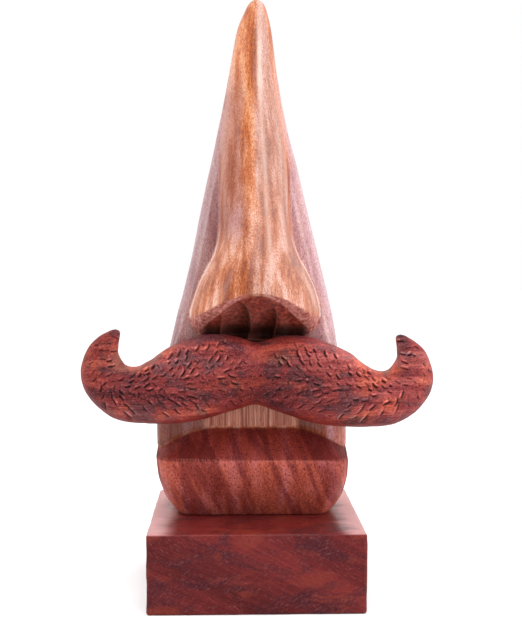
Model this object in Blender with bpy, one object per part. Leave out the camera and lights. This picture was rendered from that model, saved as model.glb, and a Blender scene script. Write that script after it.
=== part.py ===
"""Carved wooden eyeglasses stand: a nose-shaped post with a handlebar moustache on a rectangular base.

Frame: metres, +Z up. The origin is the centre of the underside of the base, the face looks along -Y,
and +X is on the right of someone who looks at the face. Lengths below are in millimetres and are
scaled to metres when a mesh is made.
"""

import math

import bmesh
import bpy
import numpy as np
from mathutils import Matrix, Vector

MM = 0.001
GAP = 0.3  # clearance between neighbouring pieces, where the glue is

# base block
BASE_W, BASE_D, BASE_H = 58.0, 58.0, 21.4
BASE_EDGE = 1.1

# nose post: a block with a flat back, carved at the front
POST_Z0 = BASE_H + GAP
POST_TOP = 168.4
BACK_Y = 16.0
LIP_Y = -10.0  # flat face that the moustache is glued to
CHIN_RIDGE_Z, CHIN_RIDGE_Y = 38.5, -17.0
CHIN_FOOT_Y = -7.0
CHIN_TOP_Z = 46.7
NOSE_FLOOR_Z = 72.4  # where the underside of the nose meets the lip face
UNDERSIDE_RUN = 1.27  # how far the underside comes forward per unit of height

# height, half width of the block, front of the cheeks, front of the ridge, half width of the nose,
# fullness and sharpness of the nose's section, and how far the centre line wanders from straight
POST_STATIONS = (
    (21.7, 21.6, -10.0, -10.0, 14.0, 2.3, 0.54, -0.2),
    (24.0, 23.6, -10.0, -10.0, 14.5, 2.3, 0.54, -0.3),
    (27.7, 25.3, -10.0, -10.0, 15.0, 2.3, 0.54, -0.4),
    (34.0, 26.3, -10.0, -10.0, 15.0, 2.3, 0.54, -0.7),
    (46.0, 26.5, -10.0, -10.0, 15.0, 2.3, 0.54, -1.0),
    (58.0, 25.3, -10.0, -14.0, 17.0, 2.3, 0.54, -0.7),
    (69.0, 23.5, -10.0, -20.0, 13.6, 2.3, 0.54, -0.4),
    (72.4, 22.9, -9.7, -22.3, 15.0, 2.3, 0.54, -0.2),
    (75.0, 22.45, -8.95, -23.6, 17.1, 2.3, 0.54, -0.1),
    (78.0, 21.9, -8.0, -24.5, 18.1, 2.3, 0.54, 0.0),
    (82.0, 21.0, -6.3, -25.2, 17.3, 2.3, 0.54, 0.2),
    (86.0, 20.1, -4.7, -25.2, 16.0, 2.3, 0.56, 0.3),
    (90.0, 19.2, -3.2, -24.2, 14.1, 2.3, 0.58, 0.3),
    (94.0, 18.3, -1.9, -22.5, 12.0, 2.25, 0.6, 0.3),
    (100.0, 17.0, -0.2, -19.1, 10.4, 2.2, 0.62, 0.2),
    (107.0, 15.5, 1.4, -15.0, 10.0, 2.2, 0.62, 0.1),
    (115.0, 13.8, 2.8, -10.8, 10.0, 2.1, 0.64, 0.0),
    (122.0, 12.2, 3.8, -7.6, 9.8, 1.95, 0.68, -0.1),
    (130.0, 10.3, 4.9, -4.4, 9.2, 1.75, 0.74, -0.3),
    (139.5, 8.3, 6.0, -1.1, 7.9, 1.55, 0.82, -0.3),
    (147.5, 6.9, 7.0, 1.3, 6.7, 1.5, 0.84, -0.2),
    (154.5, 5.8, 8.0, 3.4, 5.7, 1.5, 0.84, 0.0),
    (160.0, 4.9, 8.9, 5.2, 4.8, 1.5, 0.84, 0.2),
    (164.5, 3.3, 10.0, 7.2, 3.2, 1.5, 0.84, 0.4),
    (166.8, 2.15, 10.6, 8.5, 2.05, 1.5, 0.84, 0.55),
    (168.4, 0.8, 11.0, 10.0, 0.75, 1.5, 0.84, 0.6),
)
BACK_CURVE_Z = 150.0  # the back is flat up to here, then rounds forward to the tip
BACK_TIP_Y = 12.0

# moustache: each station gives the top and the bottom of the outline on one side
MOUSTACHE_BACK_Y = LIP_Y - GAP
MOUSTACHE_TILT = math.radians(1.15)
MOUSTACHE_SHIFT = 0.45  # both ends sit this far to the right of the middle
MOUSTACHE_STATIONS = (
    # top x, top z, bottom x, bottom z, depth in front of the edge, depth behind it, edge y
    (0.0, 70.5, 0.0, 53.7, 8.6, 4.6, -14.9),
    (5.5, 71.9, 4.6, 52.4, 9.3, 4.6, -14.9),
    (9.8, 72.5, 10.5, 50.5, 10.2, 4.6, -14.9),
    (15.2, 72.1, 16.3, 48.9, 10.8, 4.6, -14.9),
    (21.0, 70.0, 22.7, 48.1, 10.9, 4.6, -14.9),
    (25.1, 68.1, 29.8, 48.1, 10.4, 4.6, -15.0),
    (28.8, 65.4, 36.9, 49.0, 9.2, 4.9, -15.5),
    (32.4, 63.5, 42.3, 51.9, 7.7, 5.0, -16.0),
    (35.6, 63.8, 46.2, 56.6, 6.6, 4.8, -16.4),
    (37.5, 66.6, 47.5, 62.3, 5.6, 4.4, -16.8),
    (37.7, 69.0, 45.6, 68.2, 4.4, 3.6, -17.2),
    (37.5, 71.1, 42.5, 71.3, 3.0, 2.6, -17.6),
    (37.5, 72.4, 39.8, 72.8, 1.5, 1.4, -17.9),
)
MOUSTACHE_TIP = (37.95, 73.2, -18.1)

# hidden fixings
DOWEL_R, DOWEL_LENGTH, DOWEL_X, DOWEL_Z = 2.5, 17.0, 12.0, 61.0
DOWEL_IN_POST = 9.0
SCREW_R, SCREW_HEAD_R, SCREW_LENGTH, SCREW_X, SCREW_Y = 2.0, 4.0, 38.0, 12.0, 4.0
SCREW_HEAD_Z = 1.6  # the head sits this far up inside its countersink

MATERIALS = {
    "sheesham_post": ((0.42, 0.15, 0.055), 0.28),
    "sheesham_dark": ((0.24, 0.055, 0.035), 0.38),
    "sheesham_base": ((0.13, 0.026, 0.022), 0.45),
    "beech_dowel": ((0.62, 0.44, 0.27), 0.6),
    "zinc_steel": ((0.62, 0.61, 0.58), 0.32),
}


def clear_scene():
    for obj in list(bpy.data.objects):
        bpy.data.objects.remove(obj, do_unlink=True)


def material(name):
    found = bpy.data.materials.get(name)
    if found:
        return found
    colour, roughness = MATERIALS[name]
    made = bpy.data.materials.new(name)
    made.use_nodes = True
    shader = made.node_tree.nodes["Principled BSDF"]
    shader.inputs["Base Color"].default_value = (*colour, 1.0)
    shader.inputs["Roughness"].default_value = roughness
    shader.inputs["Metallic"].default_value = 1.0 if name == "zinc_steel" else 0.0
    return made


def add_object(name, mesh_builder, material_name, smooth=30.0):
    mesh = bpy.data.meshes.new(name)
    bm = bmesh.new()
    mesh_builder(bm)
    bmesh.ops.scale(bm, vec=(MM, MM, MM), verts=bm.verts)
    bmesh.ops.recalc_face_normals(bm, faces=bm.faces)
    bm.to_mesh(mesh)
    bm.free()
    if smooth:
        mesh.shade_smooth()
        mesh.set_sharp_from_angle(angle=math.radians(smooth))
    obj = bpy.data.objects.new(name, mesh)
    bpy.context.scene.collection.objects.link(obj)
    if material_name:
        obj.data.materials.append(material(material_name))
    return obj


def cutter(name, mesh_builder):
    obj = add_object(name, mesh_builder, None, smooth=0)
    obj.hide_render = True
    obj.display_type = "WIRE"
    return obj


def cut(obj, other):
    modifier = obj.modifiers.new("cut_" + other.name, "BOOLEAN")
    modifier.operation = "DIFFERENCE"
    modifier.solver = "EXACT"
    modifier.object = other


def tangents(xs, ys):
    """Slopes of a smooth curve through the points that never overshoots them."""
    steps = np.diff(xs)
    slopes = np.diff(ys) / steps
    out = np.zeros(len(xs))
    out[0], out[-1] = slopes[0], slopes[-1]
    for i in range(1, len(xs) - 1):
        if slopes[i - 1] * slopes[i] > 0:
            a, b = 2 * steps[i] + steps[i - 1], steps[i] + 2 * steps[i - 1]
            out[i] = (a + b) / (a / slopes[i - 1] + b / slopes[i])
    return out


def smooth_through(stations, column):
    """A function that follows one column of a station table, against its first column."""
    xs = np.array([row[0] for row in stations], float)
    ys = np.array([row[column] for row in stations], float)
    ms = tangents(xs, ys)

    def at(x):
        x = min(max(x, xs[0]), xs[-1])
        i = min(int(np.searchsorted(xs, x, side="right")) - 1, len(xs) - 2)
        h = xs[i + 1] - xs[i]
        t = (x - xs[i]) / h
        return float(
            (2 * t**3 - 3 * t**2 + 1) * ys[i]
            + (t**3 - 2 * t**2 + t) * h * ms[i]
            + (-2 * t**3 + 3 * t**2) * ys[i + 1]
            + (t**3 - t**2) * h * ms[i + 1]
        )

    return at


half_width = smooth_through(POST_STATIONS, 1)
cheek_y = smooth_through(POST_STATIONS, 2)
ridge_y = smooth_through(POST_STATIONS, 3)
nose_half = smooth_through(POST_STATIONS, 4)
fullness = smooth_through(POST_STATIONS, 5)
sharpness = smooth_through(POST_STATIONS, 6)
centre_x = smooth_through(POST_STATIONS, 7)


def soft_min(a, b, k):
    """The lower of two depths, blended over a fillet of about k."""
    h = max(k - abs(a - b), 0.0) / k
    return min(a, b) - h * h * k * 0.25


def corner_drop(x, half, radius):
    """How far a face has fallen back where its edge is rounded into the side wall."""
    past = min(max((abs(x) - (half - radius)) / radius, 0.0), 1.0)
    return radius * (1.0 - math.sqrt(max(1.0 - past * past, 0.0)))


def back_y(z):
    if z <= BACK_CURVE_Z:
        return BACK_Y
    t = (z - BACK_CURVE_Z) / (POST_TOP - BACK_CURVE_Z)
    return BACK_Y - (BACK_Y - BACK_TIP_Y) * (1.0 - math.sqrt(max(1.0 - t * t, 0.0)))


def block_front(x, z):
    """The front of the block beside the nose, with its long edges rounded."""
    half = half_width(z)
    room = back_y(z) - cheek_y(z)
    radius = min(3.5 + 3.5 * min(max((z - 60.0) / 25.0, 0.0), 1.0), 0.62 * half, room * 0.7)
    return cheek_y(z) + corner_drop(x, half, radius) * min(1.0, 0.92 * room / radius)


def nose_front(x, z):
    """The nose, from its rounded ridge down its flanks to the cheeks."""
    root = cheek_y(z) + 1.5
    t = min(abs(x) / nose_half(z), 1.0)
    rounding = (block_front(x, z) - cheek_y(z)) * t**8
    return root + rounding - (root - ridge_y(z)) * (1.0 - t ** fullness(z)) ** sharpness(z)


def chin_top(x):
    """Upper edge of the chin, level in the middle and falling to its shoulders."""
    return CHIN_TOP_Z - 6.0 * min(max((abs(x) - 11.0) / 15.0, 0.0), 1.0) ** 1.7


def chin_front(x, z):
    """The two flat facets of the chin, which meet in a level ridge."""
    half = half_width(z) - 0.5
    if z <= CHIN_RIDGE_Z:
        t = (z - POST_Z0) / (CHIN_RIDGE_Z - POST_Z0)
        y = CHIN_FOOT_Y + (CHIN_RIDGE_Y - CHIN_FOOT_Y) * (1.0 - (1.0 - t) ** 1.25)
        radius = 3.0 + 6.0 * (1.0 - t) ** 2
    else:
        top = chin_top(x)
        t = min(max((z - CHIN_RIDGE_Z) / (top - CHIN_RIDGE_Z), 0.0), 1.0)
        y = CHIN_RIDGE_Y + (LIP_Y - 0.2 - CHIN_RIDGE_Y) * t
        radius = 3.0
    return y + corner_drop(x, half, radius)


def carved_nose(x, z):
    return soft_min(block_front(x, z), nose_front(x, z), 2.2)


def underside(z):
    return LIP_Y - UNDERSIDE_RUN * (z - NOSE_FLOOR_Z)


def under_nose(x, z):
    """The sloping underside of the nose, and the cheeks on both sides of it."""
    return max(underside(z), carved_nose(x, z))


def edge_height(x):
    """Height of the lower edge of the nose, an arch that falls away to both wings."""
    low, high = NOSE_FLOOR_Z, 92.0
    for _ in range(24):
        middle = 0.5 * (low + high)
        cut_back = underside(middle) > carved_nose(x, middle)
        low, high = (middle, high) if cut_back else (low, middle)
    return max(low, NOSE_FLOOR_Z + 0.8)


EDGE_TOP = 100.0

# Zones of rows up the front of the post, and how each one runs from its lower to its upper limit:
# each entry is (front surface, lower limit, upper limit, places of the rows between them)
ZONES = (
    (chin_front, lambda x: POST_Z0, lambda x: CHIN_RIDGE_Z, (0.0, 0.06, 0.16, 0.32, 0.55, 0.8, 1.0)),
    (chin_front, lambda x: CHIN_RIDGE_Z, chin_top, (0.35, 0.7, 1.0)),
    (block_front, chin_top, lambda x: NOSE_FLOOR_Z, (0.04, 0.28, 0.52, 0.76, 1.0)),
    (under_nose, lambda x: NOSE_FLOOR_Z, edge_height, (0.25, 0.5, 0.75, 1.0)),
    (carved_nose, edge_height, lambda x: EDGE_TOP, (0.04, 0.12, 0.22, 0.34, 0.48, 0.64, 0.82, 1.0)),
    (carved_nose, lambda x: EDGE_TOP, lambda x: 158.0, tuple(i / 15 for i in range(1, 16))),
    (
        carved_nose,
        lambda x: 158.0,
        lambda x: POST_TOP,
        (0.28, 0.5, 0.68, 0.81, 0.91, 1.0),
    ),
)
NOSE_COLUMNS, CHEEK_COLUMNS = 19, 5


def column_x(i, z):
    """Distance of a column from the centre line: one group spans the nose, one each cheek."""
    middle = (NOSE_COLUMNS - 1) // 2 + CHEEK_COLUMNS
    k = i - middle
    inner = (NOSE_COLUMNS - 1) // 2
    nose, half = min(nose_half(z), 0.97 * half_width(z)), half_width(z)
    if abs(k) <= inner:
        s = k / inner
        return nose * (0.7 * s + 0.3 * math.sin(0.5 * math.pi * s))
    t = (abs(k) - inner) / CHEEK_COLUMNS
    t = 0.6 * t + 0.4 * math.sin(0.5 * math.pi * t)
    return math.copysign(nose + (half - nose) * t, k)


def build_post(bm):
    rings = []
    for front, lower, upper, places in ZONES:
        for place in places:
            points = []
            for i in range(NOSE_COLUMNS + 2 * CHEEK_COLUMNS):
                z = 80.0
                for _ in range(12):
                    x = column_x(i, z)
                    z = lower(x) + (upper(x) - lower(x)) * place
                x = column_x(i, z)
                points.append((x, front(x, z), z))
            left, right = points[0], points[-1]
            z = right[2]
            half, back = half_width(z), back_y(z)
            soft = min(2.0, 0.4 * half)
            side = [
                (half, right[1] + 0.5 * (back - soft - right[1]), z),
                (half, back - soft, z),
            ]
            rear = [(half - 0.3 * soft, back - 0.3 * soft, z), (half - soft, back, z)]
            rear += [(0.0, back, z)]
            rear += [(-half + soft, back, z), (-half + 0.3 * soft, back - 0.3 * soft, z)]
            other = [(-px, py, left[2]) for px, py, _ in reversed(side)]
            shift = centre_x(z)
            rings.append(
                [bm.verts.new((px + shift, py, pz)) for px, py, pz in points + side + rear + other]
            )
    for below, above in zip(rings, rings[1:]):
        count = len(below)
        for i in range(count):
            j = (i + 1) % count
            bm.faces.new((below[i], below[j], above[j], above[i]))
    bm.faces.new(list(reversed(rings[0])))
    bm.faces.new(rings[-1])


def nostril(side):
    def build(bm):
        bmesh.ops.create_uvsphere(bm, u_segments=16, v_segments=10, radius=1.0)
        slope = math.atan2(UNDERSIDE_RUN, 1.0)
        place = (
            Matrix.Translation(Vector((side * 5.0, -17.2, 77.2)))
            @ Matrix.Rotation(slope, 4, "X")
            @ Matrix.Rotation(side * math.radians(14), 4, "Z")
            @ Matrix.Diagonal(Vector((3.1, 3.6, 5.9, 1.0)))
        )
        bmesh.ops.transform(bm, matrix=place, verts=bm.verts)

    return build


def cylinder(radius, start, end, segments=20):
    def build(bm):
        start_v, end_v = Vector(start), Vector(end)
        axis = end_v - start_v
        bmesh.ops.create_cone(
            bm,
            cap_ends=True,
            segments=segments,
            radius1=radius,
            radius2=radius,
            depth=axis.length,
            matrix=Matrix.Translation((start_v + end_v) / 2)
            @ Vector((0, 0, 1)).rotation_difference(axis).to_matrix().to_4x4(),
        )

    return build


def turned(profile, segments=20):
    """A solid of revolution about Z from (radius, height) points that start and end on the axis."""

    def build(bm):
        rings = []
        for radius, z in profile:
            if radius == 0.0:
                rings.append([bm.verts.new((0.0, 0.0, z))])
                continue
            rings.append(
                [
                    bm.verts.new(
                        (
                            radius * math.cos(2 * math.pi * i / segments),
                            radius * math.sin(2 * math.pi * i / segments),
                            z,
                        )
                    )
                    for i in range(segments)
                ]
            )
        for below, above in zip(rings, rings[1:]):
            for i in range(segments):
                j = (i + 1) % segments
                corners = [
                    below[i % len(below)],
                    below[j % len(below)],
                    above[j % len(above)],
                    above[i % len(above)],
                ]
                bm.faces.new(list(dict.fromkeys(corners)))

    return build


def smooth_rows(rows, parts):
    """Rows between the stations of a table, on a Catmull-Rom curve through them."""
    data = np.array(rows, float)
    mirrored = data[1].copy()
    mirrored[[0, 2]] *= -1.0
    ends = np.vstack([mirrored, data, 2 * data[-1] - data[-2]])
    out = []
    for i in range(1, len(ends) - 2):
        count = parts if i < len(ends) - 4 else 1
        for k in range(count):
            t = k / count
            p0, p1, p2, p3 = ends[i - 1 : i + 3]
            out.append(
                0.5
                * (
                    2 * p1
                    + (p2 - p0) * t
                    + (2 * p0 - 5 * p1 + 4 * p2 - p3) * t * t
                    + (3 * p1 - p0 - 3 * p2 + p3) * t**3
                )
            )
    out.append(data[-1])
    return out


MOUSTACHE_RING = 16


def shifted(x):
    t = min(max((abs(x) - 14.0) / 20.0, 0.0), 1.0)
    return x + MOUSTACHE_SHIFT * t * t * (3 - 2 * t)


def build_moustache(bm):
    rows = smooth_rows(MOUSTACHE_STATIONS, 2)
    sections = [(-1.0, row) for row in reversed(rows[1:])] + [(1.0, row) for row in rows]
    rings = []
    for side, (tx, tz, bx, bz, front, behind, edge) in sections:
        ring = []
        for i in range(MOUSTACHE_RING):
            angle = 2 * math.pi * i / MOUSTACHE_RING
            c, s = math.cos(angle), math.sin(angle)
            n = math.copysign(abs(c) ** 0.82, c)
            if s >= 0:
                y = edge - front * abs(s) ** 0.92
            else:
                y = min(edge + behind * abs(s) ** 0.45, MOUSTACHE_BACK_Y)
            x = 0.5 * (tx + bx) + 0.5 * (tx - bx) * n
            z = 0.5 * (tz + bz) + 0.5 * (tz - bz) * n
            ring.append(bm.verts.new((shifted(side * x), y, z)))
        rings.append(ring)
    for first, second in zip(rings, rings[1:]):
        for i in range(MOUSTACHE_RING):
            j = (i + 1) % MOUSTACHE_RING
            bm.faces.new((first[i], first[j], second[j], second[i]))
    for ring, side in ((rings[0], -1.0), (rings[-1], 1.0)):
        tip = bm.verts.new((shifted(side * MOUSTACHE_TIP[0]), MOUSTACHE_TIP[2], MOUSTACHE_TIP[1]))
        for i in range(MOUSTACHE_RING):
            bm.faces.new((ring[i], ring[(i + 1) % MOUSTACHE_RING], tip))
    centre = Vector((0.0, 0.0, 61.0))
    bmesh.ops.rotate(
        bm, cent=centre, matrix=Matrix.Rotation(MOUSTACHE_TILT, 3, "Y"), verts=bm.verts
    )


def build_base(bm):
    bmesh.ops.create_cube(bm, size=1.0)
    bmesh.ops.scale(bm, vec=(BASE_W, BASE_D, BASE_H), verts=bm.verts)
    bmesh.ops.translate(bm, vec=(0, 0, BASE_H / 2), verts=bm.verts)


def main():
    clear_scene()
    stand = bpy.data.objects.new("eyeglasses_stand", None)
    bpy.context.scene.collection.objects.link(stand)

    base = add_object("base_block", build_base, "sheesham_base", smooth=40.0)
    soften = base.modifiers.new("softened_edges", "BEVEL")
    soften.width = BASE_EDGE * MM
    soften.segments = 3
    soften.limit_method = "ANGLE"

    post = add_object("nose_post", build_post, "sheesham_post", smooth=32.0)
    moustache = add_object("moustache", build_moustache, "sheesham_dark", smooth=60.0)

    for side, label in ((-1.0, "left"), (1.0, "right")):
        cut(post, cutter("nostril_cut_" + label, nostril(side)))

        # dowel between the post and the moustache
        x = side * DOWEL_X
        inner = LIP_Y + DOWEL_IN_POST
        outer = inner - DOWEL_LENGTH
        hole = cutter(
            "dowel_hole_" + label,
            cylinder(DOWEL_R + GAP, (x, inner + GAP, DOWEL_Z), (x, outer - GAP, DOWEL_Z)),
        )
        cut(post, hole)
        cut(moustache, hole)
        dowel = add_object(
            "moustache_dowel_" + label,
            turned(
                (
                    (0.0, 0.0),
                    (DOWEL_R - 0.6, 0.0),
                    (DOWEL_R, 0.8),
                    (DOWEL_R, DOWEL_LENGTH - 0.8),
                    (DOWEL_R - 0.6, DOWEL_LENGTH),
                    (0.0, DOWEL_LENGTH),
                )
            ),
            "beech_dowel",
            smooth=35.0,
        )
        dowel.location = (x * MM, inner * MM, DOWEL_Z * MM)
        dowel.rotation_euler = (math.radians(90.0), 0.0, 0.0)
        dowel.parent = stand

        # countersunk wood screw, driven up through the base into the post
        sx = side * SCREW_X
        head_depth = SCREW_HEAD_R - SCREW_R
        screw = add_object(
            "base_screw_" + label,
            turned(
                (
                    (0.0, 0.0),
                    (SCREW_HEAD_R, 0.0),
                    (SCREW_HEAD_R, 0.3),
                    (SCREW_R, 0.3 + head_depth),
                    (SCREW_R, SCREW_LENGTH - 4.0),
                    (0.0, SCREW_LENGTH),
                )
            ),
            "zinc_steel",
            smooth=35.0,
        )
        screw.location = (sx * MM, SCREW_Y * MM, SCREW_HEAD_Z * MM)
        screw.parent = stand
        for label_2, angle in (("a", 0.0), ("b", 90.0)):

            def slot(bm, angle=angle):
                bmesh.ops.create_cube(bm, size=1.0)
                bmesh.ops.scale(bm, vec=(4.4, 0.9, 2.4), verts=bm.verts)
                bmesh.ops.rotate(
                    bm,
                    cent=(0, 0, 0),
                    matrix=Matrix.Rotation(math.radians(angle), 3, "Z"),
                    verts=bm.verts,
                )
                bmesh.ops.translate(bm, vec=(sx, SCREW_Y, SCREW_HEAD_Z), verts=bm.verts)

            cut(screw, cutter(f"drive_{label_2}_{label}", slot))

        clear = SCREW_HEAD_R + GAP
        hole = cutter(
            "screw_hole_" + label,
            turned(
                (
                    (0.0, -2.0),
                    (clear, -2.0),
                    (clear, SCREW_HEAD_Z + 0.3 + GAP * 0.4),
                    (SCREW_R + GAP, SCREW_HEAD_Z + 0.3 + head_depth + GAP * 0.4),
                    (SCREW_R + GAP, SCREW_HEAD_Z + SCREW_LENGTH + GAP),
                    (0.0, SCREW_HEAD_Z + SCREW_LENGTH + GAP),
                )
            ),
        )
        hole.location = (sx * MM, SCREW_Y * MM, 0.0)
        cut(base, hole)
        cut(post, hole)

    for piece in (base, post, moustache):
        piece.parent = stand


main()
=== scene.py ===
"""Looks of the carved eyeglasses stand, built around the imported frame. Lengths are in millimetres until a mesh is made."""

import math

import bmesh
import bpy
import numpy as np
from mathutils import Matrix, Vector


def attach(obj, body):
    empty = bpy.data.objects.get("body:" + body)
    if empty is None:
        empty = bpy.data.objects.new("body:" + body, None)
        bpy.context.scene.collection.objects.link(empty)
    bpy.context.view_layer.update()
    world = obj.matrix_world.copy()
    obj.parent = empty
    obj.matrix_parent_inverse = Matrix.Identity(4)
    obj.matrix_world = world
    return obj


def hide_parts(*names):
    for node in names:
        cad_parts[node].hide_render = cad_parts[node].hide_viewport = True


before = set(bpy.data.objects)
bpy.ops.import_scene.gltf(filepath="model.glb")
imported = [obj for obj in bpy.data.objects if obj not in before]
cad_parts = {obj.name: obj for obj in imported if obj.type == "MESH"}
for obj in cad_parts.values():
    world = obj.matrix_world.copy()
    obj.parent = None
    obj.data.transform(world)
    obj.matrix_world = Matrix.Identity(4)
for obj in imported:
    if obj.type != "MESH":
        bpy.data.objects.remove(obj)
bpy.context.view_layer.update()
MM = 0.001
scene = bpy.context.scene

# ---------------------------------------------------------------- shape of the post
BASE_W, BASE_D, BASE_H = 58.0, 58.0, 21.4
GAP = 0.3
POST_Z0, POST_TOP = BASE_H + 0.12, 168.4
BACK_Y, LIP_Y = 16.0, -10.0
CHIN_RIDGE_Z, CHIN_RIDGE_Y, CHIN_FOOT_Y, CHIN_TOP_Z = 38.5, -17.0, -7.0, 46.7
NOSE_FLOOR_Z, UNDERSIDE_RUN = 72.4, 1.27
POST = np.array(
    [
        (21.4, 21.4, -10.0, -10.0, 14.0, 2.3, 0.54, -0.2),
        (24.0, 23.6, -10.0, -10.0, 14.5, 2.3, 0.54, -0.3),
        (27.7, 25.3, -10.0, -10.0, 15.0, 2.3, 0.54, -0.4),
        (34.0, 26.3, -10.0, -10.0, 15.0, 2.3, 0.54, -0.7),
        (46.0, 26.5, -10.0, -10.0, 15.0, 2.3, 0.54, -1.0),
        (58.0, 25.3, -10.0, -14.0, 17.0, 2.3, 0.54, -0.7),
        (69.0, 23.5, -10.0, -20.0, 13.6, 2.3, 0.54, -0.4),
        (72.4, 22.9, -9.7, -22.3, 15.0, 2.3, 0.54, -0.2),
        (75.0, 22.45, -8.95, -23.6, 17.1, 2.3, 0.54, -0.1),
        (78.0, 21.9, -8.0, -24.5, 18.1, 2.3, 0.54, 0.0),
        (82.0, 21.0, -6.3, -25.2, 17.3, 2.3, 0.54, 0.2),
        (86.0, 20.1, -4.7, -25.2, 16.0, 2.3, 0.56, 0.3),
        (90.0, 19.2, -3.2, -24.2, 14.1, 2.3, 0.58, 0.3),
        (94.0, 18.3, -1.9, -22.5, 12.0, 2.25, 0.6, 0.3),
        (100.0, 17.0, -0.2, -19.1, 10.4, 2.2, 0.62, 0.2),
        (107.0, 15.5, 1.4, -15.0, 10.0, 2.2, 0.62, 0.1),
        (115.0, 13.8, 2.8, -10.8, 10.0, 2.1, 0.64, 0.0),
        (122.0, 12.2, 3.8, -7.6, 9.8, 1.95, 0.68, -0.1),
        (130.0, 10.3, 4.9, -4.4, 9.2, 1.75, 0.74, -0.3),
        (139.5, 8.3, 6.0, -1.1, 7.9, 1.55, 0.82, -0.3),
        (147.5, 6.9, 7.0, 1.3, 6.7, 1.5, 0.84, -0.2),
        (154.5, 5.8, 8.0, 3.4, 5.7, 1.5, 0.84, 0.0),
        (160.0, 4.9, 8.9, 5.2, 4.8, 1.5, 0.84, 0.2),
        (164.5, 3.5, 10.0, 7.2, 3.4, 1.5, 0.84, 0.55),
        (166.8, 2.55, 10.6, 8.4, 2.45, 1.5, 0.84, 0.75),
        (167.8, 1.85, 10.9, 9.3, 1.75, 1.5, 0.84, 0.8),
        (168.4, 0.9, 11.2, 10.3, 0.85, 1.5, 0.84, 0.8),
    ]
)


def through(column):
    """A curve through one column of POST against its heights, which never overshoots."""
    xs, ys = POST[:, 0], POST[:, column]
    h = np.diff(xs)
    d = np.diff(ys) / h
    m = np.zeros(len(xs))
    m[0], m[-1] = d[0], d[-1]
    for i in range(1, len(xs) - 1):
        if d[i - 1] * d[i] > 0:
            a, b = 2 * h[i] + h[i - 1], h[i] + 2 * h[i - 1]
            m[i] = (a + b) / (a / d[i - 1] + b / d[i])

    def at(z):
        z = np.clip(np.asarray(z, float), xs[0], xs[-1])
        i = np.clip(np.searchsorted(xs, z, side="right") - 1, 0, len(xs) - 2)
        t = (z - xs[i]) / h[i]
        return (
            (2 * t**3 - 3 * t**2 + 1) * ys[i]
            + (t**3 - 2 * t**2 + t) * h[i] * m[i]
            + (-2 * t**3 + 3 * t**2) * ys[i + 1]
            + (t**3 - t**2) * h[i] * m[i + 1]
        )

    return at


half_width, cheek_y, ridge_y, nose_half, fullness, sharpness, centre_x = (
    through(c) for c in range(1, 8)
)


def step(x, a, b):
    t = np.clip((np.asarray(x, float) - a) / (b - a), 0.0, 1.0)
    return t * t * (3 - 2 * t)


def soft_min(a, b, k):
    h = np.maximum(k - np.abs(a - b), 0.0) / k
    return np.minimum(a, b) - h * h * k * 0.25


def corner_drop(x, half, radius):
    past = np.clip((np.abs(x) - (half - radius)) / radius, 0.0, 1.0)
    return radius * (1.0 - np.sqrt(np.maximum(1.0 - past * past, 0.0)))


def back_y(z):
    t = np.clip((z - 150.0) / (POST_TOP - 150.0), 0.0, 1.0)
    return BACK_Y - (BACK_Y - 12.0) * (1.0 - np.sqrt(np.maximum(1.0 - t * t, 0.0)))


def block_drop(x, z):
    half, room = half_width(z), back_y(z) - cheek_y(z)
    radius = np.minimum(
        np.minimum(3.5 + 3.5 * np.clip((z - 60.0) / 25.0, 0, 1), 0.62 * half), room * 0.7
    )
    return corner_drop(x, half, radius) * np.minimum(1.0, 0.92 * room / radius)


def block_front(x, z):
    return cheek_y(z) + block_drop(x, z)


def nose_front(x, z):
    root = cheek_y(z) + 1.5
    t = np.minimum(np.abs(x) / nose_half(z), 1.0)
    y = root + block_drop(x, z) * t**8 - (root - ridge_y(z)) * (1.0 - t ** fullness(z)) ** sharpness(z)
    # a soft crease where each wing of the nose starts, and a flatter plane down the bridge
    wing = step(z, 74.0, 80.0) * (1 - step(z, 90.0, 99.0))
    y += 0.55 * wing * np.exp(-(((np.abs(x) - 0.62 * nose_half(z)) / 2.2) ** 2))
    return y


def chin_top(x):
    return CHIN_TOP_Z - 6.0 * np.clip((np.abs(x) - 11.0) / 15.0, 0.0, 1.0) ** 1.7


def table(value, xs, ys):
    return np.interp(value, xs, ys)


def chin_front(x, z):
    half = half_width(z) - 0.4
    ridge = CHIN_RIDGE_Z - 0.022 * x
    t = np.clip((z - POST_Z0) / (ridge - POST_Z0), 0, 1)
    low = CHIN_FOOT_Y + (CHIN_RIDGE_Y - CHIN_FOOT_Y) * (1.0 - (1.0 - t) ** 1.25)
    up = np.clip((z - ridge) / (chin_top(x) - ridge), 0.0, 1.0)
    high = CHIN_RIDGE_Y + (LIP_Y - 0.2 - CHIN_RIDGE_Y) * up
    # outside the two carved faces the corner turns away from a clear edge
    width = table(z, (21.5, 24.0, 28.0, 33.0, 38.5, 43.0, 46.7), (3.0, 4.0, 3.8, 3.0, 2.7, 3.4, 5.0))
    p = np.clip((np.abs(x) - (half - width)) / width, 0, 1)
    drop = width * (0.62 * p + 0.95 * (1 - np.sqrt(np.maximum(1 - p * p, 0))))
    return np.minimum(np.where(z <= ridge, low, high) + drop, BACK_Y - 8.0)


def carved_nose(x, z):
    return soft_min(block_front(x, z), nose_front(x, z), 0.8 + 1.8 * step(z, 92.0, 112.0))


def underside(z):
    return LIP_Y - UNDERSIDE_RUN * (z - NOSE_FLOOR_Z)


OUTER_ARCH = np.array(
    [(0, 84.1), (2.4, 84.0), (5.0, 83.3), (8.1, 82.1), (11.0, 80.5), (13.4, 79.1), (15.6, 78.0), (17.6, 77.2), (18.6, 76.4), (20.5, 75.4), (32.0, 75.4)]
)
INNER_ARCH = np.array(
    [(0, 83.2), (1.8, 83.1), (4.4, 82.2), (6.8, 80.9), (8.6, 79.3), (11.4, 76.9), (14.0, 74.4), (15.3, 73.2), (17.0, 72.9), (32.0, 72.9)]
)


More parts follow.
